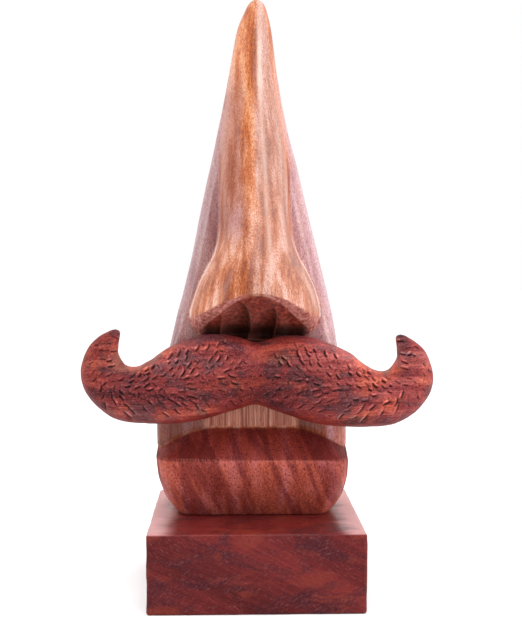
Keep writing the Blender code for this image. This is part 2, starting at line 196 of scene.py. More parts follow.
def arch(x, points):
    """A smooth run through the points of an arch, the same on both sides."""
    a = np.abs(np.asarray(x, float))
    offsets, weights = (-1.2, -0.6, 0.0, 0.6, 1.2), (1, 3, 4, 3, 1)
    return sum(w * np.interp(np.abs(a + o), points[:, 0], points[:, 1]) for o, w in zip(offsets, weights)) / 12.0


def edge_outer(x):
    return arch(x, OUTER_ARCH)


def edge_inner(x):
    return np.minimum(arch(x, INNER_ARCH), edge_outer(x) - 0.35)


def under_nose(x, z):
    # a little proud of the flat slope beside the two scoops, so that a wall stands between them
    return np.maximum(underside(z), carved_nose(x, z))


def broken_edge(x, z):
    lo, hi = edge_inner(x), edge_outer(x)
    t = (z - lo) / (hi - lo)
    flat = under_nose(x, lo) * (1 - t) + carved_nose(x, hi) * t
    return np.maximum(flat, carved_nose(x, z))


NOSTRILS = ((-5.3, 0.0, 81.9, 4.1), (2.6, 0.20, 80.4, 3.5))


def nostrils(x, z):
    """Two gouge scoops up the underside of the nose, each with a crisp rim."""
    deep = np.zeros(np.broadcast(x, z).shape)
    for xc, lean, top, wide in NOSTRILS:
        centre = xc + lean * (z - 76.0)
        t = np.clip((z - (NOSE_FLOOR_Z - 2.5)) / (top - (NOSE_FLOOR_Z - 2.5)), 0, 1)
        w = wide * np.sqrt(np.maximum(1 - t**4, 0.0)) + 1e-6
        across = np.sqrt(np.clip(1 - ((x - centre) / w) ** 2, 0, 1))
        deep = np.maximum(deep, across**0.8 * 4.0 * np.minimum(t / 0.2, 1.0) * (1 - 0.30 * t))
    return deep


EDGE_TOP = 100.0
NOSE_COLUMNS, CHEEK_COLUMNS, SIDE_COLUMNS, REAR_COLUMNS = 111, 18, 12, 22


def column_x(z):
    """Across the front, for every row: one group of columns spans the nose, one each cheek."""
    inner = (NOSE_COLUMNS - 1) // 2
    k = np.arange(-(inner + CHEEK_COLUMNS), inner + CHEEK_COLUMNS + 1)
    nose = np.minimum(nose_half(z), 0.97 * half_width(z))
    half = half_width(z)
    s = np.clip(k / inner, -1, 1)
    centre = nose * (0.72 * s + 0.28 * np.sin(0.5 * np.pi * s))
    t = np.clip((np.abs(k) - inner) / CHEEK_COLUMNS, 0, 1)
    t = 0.6 * t + 0.4 * np.sin(0.5 * np.pi * t)
    return np.where(np.abs(k) <= inner, centre, np.sign(k) * (nose + (half - nose) * t))


def rows_between(n, start=False):
    t = np.linspace(0.0, 1.0, n + 1)
    return t if start else t[1:]


def post_grid():
    zones = (
        (chin_front, lambda x: POST_Z0 + 0 * x, lambda x: CHIN_RIDGE_Z - 0.022 * x, rows_between(44, True)),
        (chin_front, lambda x: CHIN_RIDGE_Z - 0.022 * x, chin_top, rows_between(22)),
        (
            lambda x, z: block_front(x, z) + nostrils(x, z) * step(z, 70.4, 71.4),
            chin_top,
            lambda x: NOSE_FLOOR_Z + 0 * x,
            rows_between(46),
        ),
        (
            lambda x, z: under_nose(x, z) + nostrils(x, z),
            lambda x: NOSE_FLOOR_Z + 0 * x,
            edge_inner,
            rows_between(40),
        ),
        (
            lambda x, z: broken_edge(x, z),
            edge_inner,
            edge_outer,
            rows_between(8),
        ),
        (carved_nose, edge_outer, lambda x: EDGE_TOP + 0 * x, rows_between(66) ** 1.08),
        (carved_nose, lambda x: EDGE_TOP + 0 * x, lambda x: 158.0 + 0 * x, rows_between(100)),
        (
            carved_nose,
            lambda x: 158.0 + 0 * x,
            lambda x: POST_TOP + 0 * x,
            np.sin(0.5 * np.pi * rows_between(34)),
        ),
    )
    rings = []
    for front, lower, upper, places in zones:
        for place in places:
            z = np.full(NOSE_COLUMNS + 2 * CHEEK_COLUMNS, 80.0)
            x = column_x(z)
            for _ in range(14):
                x = column_x(z)
                z = lower(x) + (upper(x) - lower(x)) * place
            y = front(x, z)
            zr, zl = z[-1], z[0]
            half, back = float(half_width(zr)), float(back_y(zr))
            soft = min(2.2, 0.42 * half)
            right = []
            for k in range(1, SIDE_COLUMNS + 1):
                t = k / SIDE_COLUMNS
                right.append((half, y[-1] + (back - soft - y[-1]) * t, zr))
            turn = []
            for k in range(1, 6):
                a = 0.5 * math.pi * k / 5
                turn.append((half - soft + soft * math.cos(a), back - soft + soft * math.sin(a), zr))
            flat = [
                ((half - soft) * (1 - 2 * k / REAR_COLUMNS), back, zr) for k in range(1, REAR_COLUMNS)
            ]
            turn_l = [(-a, b, zl) for a, b, _ in reversed(turn)]
            left = [(-half, b, zl) for _, b, _ in reversed(right)]
            ring = np.array(list(zip(x, y, z)) + right + turn + flat + turn_l + left)
            ring[:, 0] += centre_x(ring[:, 2])
            rings.append(ring)
    return np.array(rings)


# ---------------------------------------------------------------- mesh helpers
def lattice_noise(points, size, seed):
    """Smooth value noise between -1 and 1, the same each run."""
    rng = np.random.default_rng(seed)
    table = rng.uniform(-1, 1, 4096)
    p = points / size + 100.0
    i = np.floor(p).astype(int)
    f = p - i
    f = f * f * (3 - 2 * f)
    out = np.zeros(len(points))
    for dx in (0, 1):
        for dy in (0, 1):
            for dz in (0, 1):
                h = (
                    (i[:, 0] + dx) * 73856093 ^ (i[:, 1] + dy) * 19349663 ^ (i[:, 2] + dz) * 83492791
                ) & 4095
                w = (
                    (f[:, 0] if dx else 1 - f[:, 0])
                    * (f[:, 1] if dy else 1 - f[:, 1])
                    * (f[:, 2] if dz else 1 - f[:, 2])
                )
                out += w * table[h]
    return out


def ring_faces(rows, columns):
    i = np.arange(columns)
    j = (i + 1) % columns
    base = np.arange(rows - 1)[:, None] * columns
    quads = np.stack(
        [base + i, base + j, base + columns + j, base + columns + i], axis=-1
    )
    return quads.reshape(-1, 4)


def vertex_normals(points, quads):
    a, b, c, d = (points[quads[:, k]] for k in range(4))
    n = np.cross(c - a, d - b)
    out = np.zeros_like(points)
    for k in range(4):
        np.add.at(out, quads[:, k], n)
    return out / np.maximum(np.linalg.norm(out, axis=1, keepdims=True), 1e-12)


def curvature(points, faces_list, normals, passes=3):
    """How hollow (positive) or proud (negative) the surface is at each point, from its neighbours."""
    edges = np.concatenate([faces_list[:, [k, (k + 1) % 4]] for k in range(4)])
    edges = np.unique(np.sort(edges, axis=1), axis=0)
    edges = edges[edges[:, 0] != edges[:, 1]]
    count = np.bincount(edges.ravel(), minlength=len(points)).astype(float)
    total = np.zeros_like(points)
    np.add.at(total, edges[:, 0], points[edges[:, 1]])
    np.add.at(total, edges[:, 1], points[edges[:, 0]])
    lap = total / np.maximum(count, 1)[:, None] - points
    length = np.linalg.norm(points[edges[:, 0]] - points[edges[:, 1]], axis=1)
    mean = np.zeros(len(points))
    np.add.at(mean, edges[:, 0], length)
    np.add.at(mean, edges[:, 1], length)
    mean /= np.maximum(count, 1)
    value = (lap * normals).sum(1) / np.maximum(mean, 1e-6) ** 2
    for _ in range(passes):
        spread = np.zeros(len(points))
        np.add.at(spread, edges[:, 0], value[edges[:, 1]])
        np.add.at(spread, edges[:, 1], value[edges[:, 0]])
        value = 0.5 * value + 0.5 * spread / np.maximum(count, 1)
    return value


def mesh_object(name, points, quads, extra_faces=(), attributes=None, smooth=True):
    mesh = bpy.data.meshes.new(name)
    faces = [tuple(int(i) for i in dict.fromkeys(q)) for q in quads.tolist()]
    faces += [tuple(f) for f in extra_faces]
    mesh.from_pydata((points * MM).tolist(), [], faces)
    for key, values in (attributes or {}).items():
        layer = mesh.attributes.new(key, "FLOAT", "POINT")
        layer.data.foreach_set("value", np.asarray(values, np.float32))
    mesh.validate()
    if smooth:
        mesh.shade_smooth()
    obj = bpy.data.objects.new(name, mesh)
    scene.collection.objects.link(obj)
    return obj


def fix_normals(obj):
    bm = bmesh.new()
    bm.from_mesh(obj.data)
    bmesh.ops.recalc_face_normals(bm, faces=bm.faces)
    bm.to_mesh(obj.data)
    bm.free()


# ---------------------------------------------------------------- post
def relax(grid, times, amount):
    """Eases creases in a grid of rings by moving each point towards its neighbours, by its own amount."""
    for _ in range(times):
        around = 0.5 * (np.roll(grid, 1, axis=1) + np.roll(grid, -1, axis=1))
        along = grid.copy()
        along[1:-1] = 0.5 * (grid[:-2] + grid[2:])
        moved = grid + amount[..., None] * (0.5 * around + 0.5 * along - grid)
        moved[0, :, 2], moved[-1] = grid[0, :, 2], grid[-1]
        grid = moved
    return grid


def make_post():
    grid = post_grid()
    z = grid[..., 2]
    soft = 0.1 + 0.35 * step(z, 92.0, 106.0)
    soft = np.where(z < 84.6, 0.0, soft)
    soft = np.where((np.abs(grid[..., 0]) > 20.0) & (z > 68.0) & (z < 92.0), 0.3, soft)
    soft = np.where(z < 48.0, 0.12, soft)
    grid = relax(grid, 3, soft)
    rows, columns = grid.shape[:2]
    points = grid.reshape(-1, 3)
    quads = ring_faces(rows, columns)
    normals = vertex_normals(points, quads)
    if normals[np.argmin(points[:, 1])][1] > 0:
        quads = quads[:, ::-1]
        normals = -normals
    # hand finishing leaves the faces a little wavy
    x, y, z = points[:, 0], points[:, 1], points[:, 2]
    own_x = x - centre_x(z)
    front = y < BACK_Y - 1.0
    wave = 0.12 * lattice_noise(points * [1, 1, 0.45], 7.0, 3) + 0.045 * lattice_noise(
        points * [1, 1, 0.6], 2.6, 4
    )
    raw = (
        step(np.abs(own_x + 0.6) + 1.0 * lattice_noise(points, 3.0, 8), 14.0, 11.3)
        * step(z - chin_top(own_x), -0.05, 0.2)
        * step(z, 66.0, 62.0)
        * (y < LIP_Y + 3.0)
    )
    # the underside of the nose, dark for its end grain and as painted shade
    under = (
        (y < LIP_Y + 5.0) * step(z, 62.0, 66.0) * step(edge_inner(own_x) + 0.1 - z, -0.35, 0.1)
        * step(nose_half(np.maximum(z, 72.4)) - np.abs(own_x), 0.2, 0.9)
    )
    chamfer = (
        step(z - edge_inner(own_x), -0.2, 0.25) * step(edge_outer(own_x) - z, -0.25, 0.2)
        * step(np.abs(own_x), 1.0, 5.0)
    )
    flank = (
        step(np.abs(own_x), 13.0, 15.0) * step(edge_outer(own_x) - z, -0.25, 0.3) * step(z, 71.0, 72.2)
        * step(nose_half(np.maximum(z, 72.4)) + 0.5 - np.abs(own_x), 0.0, 0.5) * (y < cheek_y(z) + 1.2)
    )
    chamfer = np.maximum(chamfer * step(nose_half(np.maximum(z, 72.4)) + 0.9 - np.abs(own_x), 0.0, 0.5), flank)
    # the cheeks beside the nose, painted darker as shade with a painted sheen
    slab = step(np.abs(own_x) - nose_half(z), -0.6, 0.9) * step(z, 160.0, 115.0) * step(z, 44.0, 60.0)
    slab *= step(BACK_Y - y, 1.0, 14.0)
    # the side edges of the post, painted pale as glare
    edge_glare = step(np.abs(own_x), half_width(z) - 3.2, half_width(z) - 0.2) * step(z, 165.0, 120.0) * step(z, 60.0, 80.0) * (y < BACK_Y - 1.0)
    # beside the chin below the moustache, painted dark as its shadow
    beside = step(np.abs(own_x), 11.0, 13.5) * step(z, 66.0, 61.0) * step(z - chin_top(own_x), -0.4, 0.3)
    beside *= step(2.0 - y, 0.0, 8.0)
    fore = y < ridge_y(z) + 0.75 * (cheek_y(z) - ridge_y(z))
    edge = 0.5 * lattice_noise(points * [1, 1, 0.2], 3.0, 31)
    # right of the ridge, painted pale as glare
    pale = step(own_x + edge + 2.6 * step(z, 104.0, 90.0), -0.6, 1.4) * (0.6 + 0.4 * step(z, 98.0, 122.0)) * step(z, 77.0, 80.0)
    pale = np.where(fore | (z < 100.0), pale, 0.0) * (np.abs(own_x) < nose_half(z))
    # the left flank of the ridge, out of that glare, painted warmer
    amber = step(-own_x + 0.6 * edge, -0.5, 0.5) * step(z, 98.0, 116.0) * (np.abs(own_x) < nose_half(z))
    # the path of a painted highlight streak just right of the ridge
    path = 1.2 + 2.6 * np.clip((160.0 - z) / 80.0, 0.0, 1.0)
    glint = np.exp(-(((own_x + 0.4 * edge - path) / 0.75) ** 2)) * step(z, 84.0, 90.0) * (y < cheek_y(z))
    # left of the bridge, painted darker as shade
    shade = step(-own_x + edge, 1.2, 4.5) * step(z, 94.0, 104.0) * step(z, 152.0, 136.0)
    forward = step(BACK_Y - y, 1.0, 9.0)
    pale, amber, shade = pale * forward, amber * forward, shade * forward
    # a painted highlight along the outline of each nose wing
    rim = np.exp(-(((np.abs(own_x) - nose_half(z) + 0.15) / 0.22) ** 2)) * step(z, 75.0, 77.5) * step(z, 104.0, 94.0)
    rim *= y < cheek_y(z) + 2.0
    lower = step(chin_top(own_x) - z, -0.3, 0.5)
    # the two scoops, and which side of each, for their painted light and shade
    scoop = np.clip(nostrils(own_x, z) / 3.0, 0, 1) * (y < LIP_Y + 4.5) * (z > 70.8) * (z < 83)
    side = np.zeros(len(points))
    for xc, lean, _, wide in NOSTRILS:
        across = (own_x - xc - lean * (z - 76.0)) / wide
        side = np.where(np.abs(across) < 1.0, across, side)
    chamfer *= y < LIP_Y + 9.0
    ribs = 0.05 * np.sign(lattice_noise(points * [1, 0, 0.02], 0.75, 21)) * raw
    tool = 0.06 * np.abs(lattice_noise(points * [1, 1, 0.8], 1.1, 23)) * np.clip(under + chamfer, 0, 1)
    lift = wave * np.where(front, 1.0, 0.5) * (1 - 0.7 * raw) * step(z, 168.4, 160.0) + ribs - tool
    lift *= step(z, POST_Z0, POST_Z0 + 1.5)
    points = points + normals * lift[:, None]
    normals = vertex_normals(points, quads)
    bend = curvature(points, quads, normals, 4)
    cap_low = tuple(range(columns - 1, -1, -1))
    cap_top = tuple((rows - 1) * columns + i for i in range(columns))
    obj = mesh_object(
        "post_carving",
        points,
        quads,
        (cap_low, cap_top),
        {"bend": bend, "raw": raw, "under": np.clip(under, 0, 1), "chamfer": chamfer, "scoop": scoop, "slab": slab, "lower": lower,
         "pale": pale, "shade": shade, "rim": rim, "glint": glint, "side": side, "beside": beside, "edge_glare": edge_glare, "amber": amber},
    )
    fix_normals(obj)
    return obj


# ---------------------------------------------------------------- moustache
STATIONS = np.array(
    [
        # top x, top z, bottom x, bottom z, depth in front of the edge, behind it, edge y
        (0.0, 70.5, 0.0, 53.7, 8.6, 4.6, -14.9),
        (5.5, 71.9, 4.6, 52.4, 9.3, 4.6, -14.9),
        (9.8, 72.5, 10.5, 50.5, 10.2, 4.6, -14.9),
        (15.2, 72.1, 16.3, 48.9, 10.8, 4.6, -14.9),
        (21.0, 70.0, 22.7, 48.1, 10.9, 4.6, -14.9),
        (25.1, 68.1, 29.8, 48.1, 10.4, 4.6, -15.0),
        (28.8, 65.4, 36.9, 49.0, 9.2, 4.9, -15.5),
        (32.4, 63.5, 42.3, 51.9, 7.7, 5.0, -16.0),
        (35.6, 63.8, 46.2, 56.6, 6.6, 4.8, -16.4),
        (37.5, 66.6, 47.5, 62.3, 5.6, 4.4, -16.8),
            (37.6, 69.0, 45.6, 68.3, 4.4, 3.6, -17.2),
        (37.3, 71.1, 42.8, 71.4, 3.2, 2.7, -17.6),
        (37.1, 72.6, 40.4, 72.9, 2.1, 1.8, -17.8),
        (37.35, 73.25, 39.2, 73.45, 1.15, 0.95, -17.95),
    ]
)
TIP = np.array((38.2, -18.0, 73.6))
TILT = math.radians(1.15)
SHIFT = 0.45
MOUSTACHE_BACK = LIP_Y - 0.12


FRONT_COLUMNS, BACK_COLUMNS = 146, 30


def moustache_rows(spacing):
    data = STATIONS
    mirrored = data[1].copy()
    mirrored[[0, 2]] *= -1.0
    ends = np.vstack([mirrored, data, 2 * data[-1] - data[-2]])
    out = []
    for i in range(1, len(ends) - 2):
        p0, p1, p2, p3 = ends[i - 1 : i + 3]
        top, bottom = np.hypot(*(p2 - p1)[:2]), np.hypot(*(p2 - p1)[2:4])
        n = max(3, int(round((0.6 * max(top, bottom) + 0.4 * min(top, bottom)) / spacing)))
        for k in range(n):
            t = k / n
            out.append(
                0.5
                * (
                    2 * p1
                    + (p2 - p0) * t
                    + (2 * p0 - 5 * p1 + 4 * p2 - p3) * t * t
                    + (3 * p1 - p0 - 3 * p2 + p3) * t**3
                )
            )
    out.append(data[-1])
    return np.array(out)


def nick_list():
    """Where the chisel went in: middle of the cut, direction of its line, length, reach and depth of the scallop below it, and how far the line bows."""
    rng = np.random.default_rng(77)
    rows = moustache_rows(0.5)
    top, bottom = rows[:, [0, 1]], rows[:, [2, 3]]
    middle = 0.5 * (top + bottom)
    run = np.concatenate([[0], np.cumsum(np.linalg.norm(np.diff(middle, axis=0), axis=1))])
    length = run[-1]
    nicks = []
    for side in (-1.0, 1.0):
        for b in range(-7, 8):
            s = rng.uniform(0.3, 1.2) + (1.45 if b % 2 else 0.0)
            while s < length - 1.6:
                i = min(int(np.searchsorted(run, s)), len(run) - 1)
                width = np.linalg.norm(top[i] - bottom[i])
                offset = b * 1.75 + rng.uniform(-0.3, 0.3)
                v = offset / max(0.5 * width, 0.1)
                pitch = rng.uniform(2.3, 3.1) * (0.85 if s > 0.7 * length else 1.0)
                s += pitch
                if v > 0.80 or v < -0.74 or (s < 12.0 and v > 0.62) or (s < 5.0 and v > 0.1):
                    continue
                if rng.random() < (0.24 if abs(v) < 0.25 else 0.07):
                    continue
                j, k = min(i + 4, len(run) - 1), max(i - 4, 0)
                tangent = middle[j] - middle[k]
                tangent = tangent / max(np.linalg.norm(tangent), 1e-9)
                across = top[i] - bottom[i]
                across = across / max(np.linalg.norm(across), 1e-9)
                place = middle[i] + across * v * 0.5 * width
                # lines near the top edge lean one way, those below the other; on the curl they lie across it
                lean = np.interp(v, (-0.8, -0.30, 0.0, 0.30, 0.8), (0.80, 0.62, 0.12, -0.80, -1.05))
                lean += rng.uniform(-0.30, 0.30)
                curl = float(step(s / length, 0.60, 0.80))
                lean = lean * (1 - curl) + curl * (1.25 * (1 if v < 0.1 else -1) + rng.uniform(-0.3, 0.3))
                line = tangent * math.cos(lean) + across * math.sin(lean)
                down = np.array((line[1], -line[0]))
                if down[1] > 0.0:
                    down = -down
                small = 0.78 if curl > 0.5 or s < 7.0 else 1.0
                long = rng.uniform(1.5, 2.9) * small
                if v > -0.2 and curl < 0.5 and s > 6.0 and rng.random() < 0.55:
                    # the top of the scale that this cut ends
                    up = line if line[1] > 0 else -line
                    turn_by = rng.uniform(1.2, 1.6)
                    over = np.array((up[0] * math.cos(turn_by) - up[1] * math.sin(turn_by), up[0] * math.sin(turn_by) + up[1] * math.cos(turn_by)))
                    if over[0] > 0:
                        over = -over
                    below = np.array((over[1], -over[0]))
                    if below[1] > 0.0:
                        below = -below
                    more = rng.uniform(1.2, 2.0)
                    spot = place + up * 0.5 * long + over * 0.5 * more
                    nicks.append(
                        (
                            side * spot[0] + SHIFT * float(step(abs(spot[0]), 14.0, 34.0)), spot[1],
                            side * over[0], over[1], side * below[0], below[1],
                            more, 0.9, rng.uniform(0.22, 0.36), 0.15,
                        )
                    )
                nicks.append(
                    (
                        side * place[0] + SHIFT * float(step(abs(place[0]), 14.0, 34.0)), place[1],
                        side * line[0], line[1], side * down[0], down[1],
                        long,
                        rng.uniform(0.8, 1.5) * small,
                        rng.uniform(0.18, 0.70) * (0.8 if v < -0.2 else 1.0) * (0.8 if small < 1 else 1.0),
                        rng.uniform(-0.10, 0.26),
                    )
                )
    return nicks


def make_moustache():
    half_rows = moustache_rows(0.275)
    rows = np.vstack([half_rows[:0:-1], half_rows])
    sides = np.array([-1.0] * (len(half_rows) - 1) + [1.0] * len(half_rows))
    # more points over the carved front than over the flat back
    front_part = np.linspace(0.0, np.pi, FRONT_COLUMNS, endpoint=False)
    back_part = np.linspace(np.pi, 2 * np.pi, BACK_COLUMNS, endpoint=False)
    angle = np.concatenate([front_part, back_part])
    c, s = np.cos(angle), np.sin(angle)
    s[np.abs(s) < 1e-12] = 0.0
    n = np.sign(c) * np.abs(c) ** 0.86
    tx, tz, bx, bz, ahead, behind, edge = (rows[:, k][:, None] for k in range(7))
    y = np.where(
        s >= 0,
        edge - ahead * np.abs(s) ** 0.9,
        np.minimum(edge + behind * np.abs(s) ** 0.5, MOUSTACHE_BACK),
    )
    x = 0.5 * (tx + bx) + 0.5 * (tx - bx) * n
    z = 0.5 * (tz + bz) + 0.5 * (tz - bz) * n
    x = x * sides[:, None]
    x = x + SHIFT * step(np.abs(x), 14.0, 34.0)
    grid = np.stack([x, y, z], axis=-1)
    # a shallow groove down the middle, where the two halves meet
    facing = np.clip(s, 0, 1)[None, :]
    grid[..., 1] += 0.9 * np.exp(-((grid[..., 0] / 2.2) ** 2)) * facing * step(grid[..., 2], 60.0, 69.0)
    v = n[None, :] + 0 * x
    points = grid.reshape(-1, 3)
    quads = ring_faces(*grid.shape[:2])
    normals = vertex_normals(points, quads)
    if normals[np.argmin(points[:, 1])][1] > 0:
        quads = quads[:, ::-1]
        normals = -normals
    front = normals[:, 1] < -0.10
    sink = np.zeros(len(points))
    cut_shadow = np.zeros(len(points))
    lip = np.zeros(len(points))
    for px, pz, ex, ez, mx, mz, long, reach, deep, bow in nick_list():
        rx, rz = points[:, 0] - px, points[:, 2] - pz
        near = front & (np.abs(rx) < 3.6) & (np.abs(rz) < 3.6)
        rx, rz = rx[near], rz[near]
        b = rx * ex + rz * ez
        a = rx * mx + rz * mz + bow * b * b
        ends = np.sqrt(np.clip(1 - (2 * b / long) ** 2, 0, 1))
        body = np.where(a >= 0, np.clip(1 - a / reach, 0, 1) ** 1.15, np.clip(1 + a / 0.24, 0, 1))
        sink[near] = np.maximum(sink[near], deep * body * ends)
        # a painted shadow line along the wall of each cut
        cut_shadow[near] = np.maximum(cut_shadow[near], np.exp(-(((a - 0.05) / 0.19) ** 2)) * ends * deep / 0.6)
        lip[near] = np.maximum(lip[near], np.exp(-(((a + 0.5) / 0.26) ** 2)) * ends * 0.17 * deep)
    wave = 0.14 * lattice_noise(points, 4.2, 11) + 0.05 * lattice_noise(points, 1.5, 12)
    back = points[:, 1] > MOUSTACHE_BACK - 0.4
    lift = np.where(back, 0.0, wave) - sink + lip * (sink < 0.1)
    points = points + normals * lift[:, None]
    points[:, 1] = np.minimum(points[:, 1], MOUSTACHE_BACK)
    tips, extra = [], []
    count, ring = grid.shape[:2]
    for row, side in ((0, -1.0), (count - 1, 1.0)):
        tips.append((side * TIP[0] + SHIFT, TIP[1], TIP[2]))
        index = len(points) + len(tips) - 1
        for i in range(ring):
            a, b = row * ring + i, row * ring + (i + 1) % ring
            extra.append((a, b, index))
    points = np.vstack([points, tips])
    normals = vertex_normals(points, quads)
    bend = curvature(points, quads, normals, 1)
    rot = np.array(Matrix.Rotation(TILT, 3, "Y"))
    points = (points - [0, 0, 61.0]) @ rot.T + [0, 0, 61.0]
    obj = mesh_object(
        "moustache_carving",
        points,
        quads,
        extra,
        {
            "bend": bend,
            "nick": np.append(sink, [0, 0]),
            "cut": np.append(cut_shadow, [0, 0]),
            "lip": np.append(lip, [0, 0]),
            "across": np.append(v.reshape(-1), [0, 0]),
        },
    )
    fix_normals(obj)
    return obj


# ---------------------------------------------------------------- base
def make_base():
    """The base block, with sanded edges that are not quite even; the two screw holes below are drilled into it
    afterwards.
    """
    n = 72
    grid = []
    r = 1.5
    bm = bmesh.new()
    bmesh.ops.create_cube(bm, size=1.0)
    bmesh.ops.scale(bm, vec=(BASE_W, BASE_D, BASE_H), verts=bm.verts)
    bmesh.ops.translate(bm, vec=(0, 0, BASE_H / 2), verts=bm.verts)
    bmesh.ops.bevel(
        bm, geom=list(bm.edges), offset=0.75, segments=3, profile=0.5, affect="EDGES"
    )
    # finer faces, so that the edges can wander
    long_edges = [e for e in bm.edges if e.calc_length() > 3.0]
    bmesh.ops.subdivide_edges(bm, edges=long_edges, cuts=31, use_grid_fill=True)
    points = np.array([v.co[:] for v in bm.verts])
    normals = np.array([v.normal[:] for v in bm.verts])
    bm.normal_update()
    normals = np.array([v.normal[:] for v in bm.verts])
    edge_x = np.clip((np.abs(points[:, 0]) - (BASE_W / 2 - 3.0)) / 3.0, 0, 1)
    edge_y = np.clip((np.abs(points[:, 1]) - (BASE_D / 2 - 3.0)) / 3.0, 0, 1)
    edge_z = np.clip((np.abs(points[:, 2] - BASE_H / 2) - (BASE_H / 2 - 3.0)) / 3.0, 0, 1)
    corner = np.maximum(np.maximum(edge_x * edge_y, edge_x * edge_z), edge_y * edge_z)
    lift = 0.07 * lattice_noise(points, 6.0, 31) + 0.03 * lattice_noise(points, 2.0, 32)
    lift -= corner * (0.03 + 0.16 * np.clip(lattice_noise(points, 4.0, 33), 0, 1))
    bottom = points[:, 2] < 0.05
    lift[bottom] = 0.0
    moved = points + normals * lift[:, None]
    moved[:, 2] = np.clip(moved[:, 2], 0.0, None)
    under_post = (np.abs(points[:, 0]) < 22) & (points[:, 1] > -8) & (points[:, 1] < 17)
    top = points[:, 2] > BASE_H - 0.01
    moved[top & under_post, 2] = np.minimum(moved[top & under_post, 2], BASE_H)
    for v, p in zip(bm.verts, moved):
        v.co = Vector(p) * MM
    mesh = bpy.data.meshes.new("base_carving")
    bm.to_mesh(mesh)
    bm.free()
    obj = bpy.data.objects.new("base_carving", mesh)
    scene.collection.objects.link(obj)
    mesh.shade_smooth()
    mesh.set_sharp_from_angle(angle=math.radians(50))
    return obj


def turned(name, profile, segments=48):
    bm = bmesh.new()
    rings = []
    for radius, z in profile:
        if radius == 0.0:
            rings.append([bm.verts.new((0, 0, z * MM))])
        else:
            rings.append(
                [
                    bm.verts.new(
                        (
                            radius * MM * math.cos(2 * math.pi * i / segments),
                            radius * MM * math.sin(2 * math.pi * i / segments),
                            z * MM,
                        )
                    )
                    for i in range(segments)
                ]
            )
    for low, high in zip(rings, rings[1:]):
        for i in range(segments):
            j = (i + 1) % segments
            corners = [low[i % len(low)], low[j % len(low)], high[j % len(high)], high[i % len(high)]]
            bm.faces.new(list(dict.fromkeys(corners)))
    bmesh.ops.recalc_face_normals(bm, faces=bm.faces)
    mesh = bpy.data.meshes.new(name)
    bm.to_mesh(mesh)
    bm.free()
    obj = bpy.data.objects.new(name, mesh)
    scene.collection.objects.link(obj)
    return obj


def apply_modifiers(obj):
    graph = bpy.context.evaluated_depsgraph_get()
    graph.update()
    mesh = bpy.data.meshes.new_from_object(obj.evaluated_get(graph))
    obj.modifiers.clear()
    old = obj.data
    obj.data = mesh
    bpy.data.meshes.remove(old)


def drill(obj, cutters):
    for other in cutters:
        modifier = obj.modifiers.new("hole", "BOOLEAN")
        modifier.operation = "DIFFERENCE"
        modifier.solver = "EXACT"
        modifier.object = other
    bpy.context.view_layer.update()
    apply_modifiers(obj)
    for other in cutters:
        bpy.data.objects.remove(other)


SCREW_X, SCREW_Y, SCREW_R, SCREW_HEAD_R, SCREW_HEAD_Z, SCREW_LENGTH = 12.0, 4.0, 2.0, 4.0, 1.6, 38.0


def screw_holes():
    out = []
    clear = SCREW_HEAD_R + GAP
    for side in (-1, 1):
        hole = turned(
            "hole",
            (
                (0.0, -2.0),
                (clear, -2.0),
                (clear, SCREW_HEAD_Z + 0.42),
                (SCREW_R + GAP, SCREW_HEAD_Z + 2.42),
                (SCREW_R + GAP, SCREW_HEAD_Z + SCREW_LENGTH + GAP),
                (0.0, SCREW_HEAD_Z + SCREW_LENGTH + GAP),
            ),
        )
        hole.location = (side * SCREW_X * MM, SCREW_Y * MM, 0)
        out.append(hole)
    return out


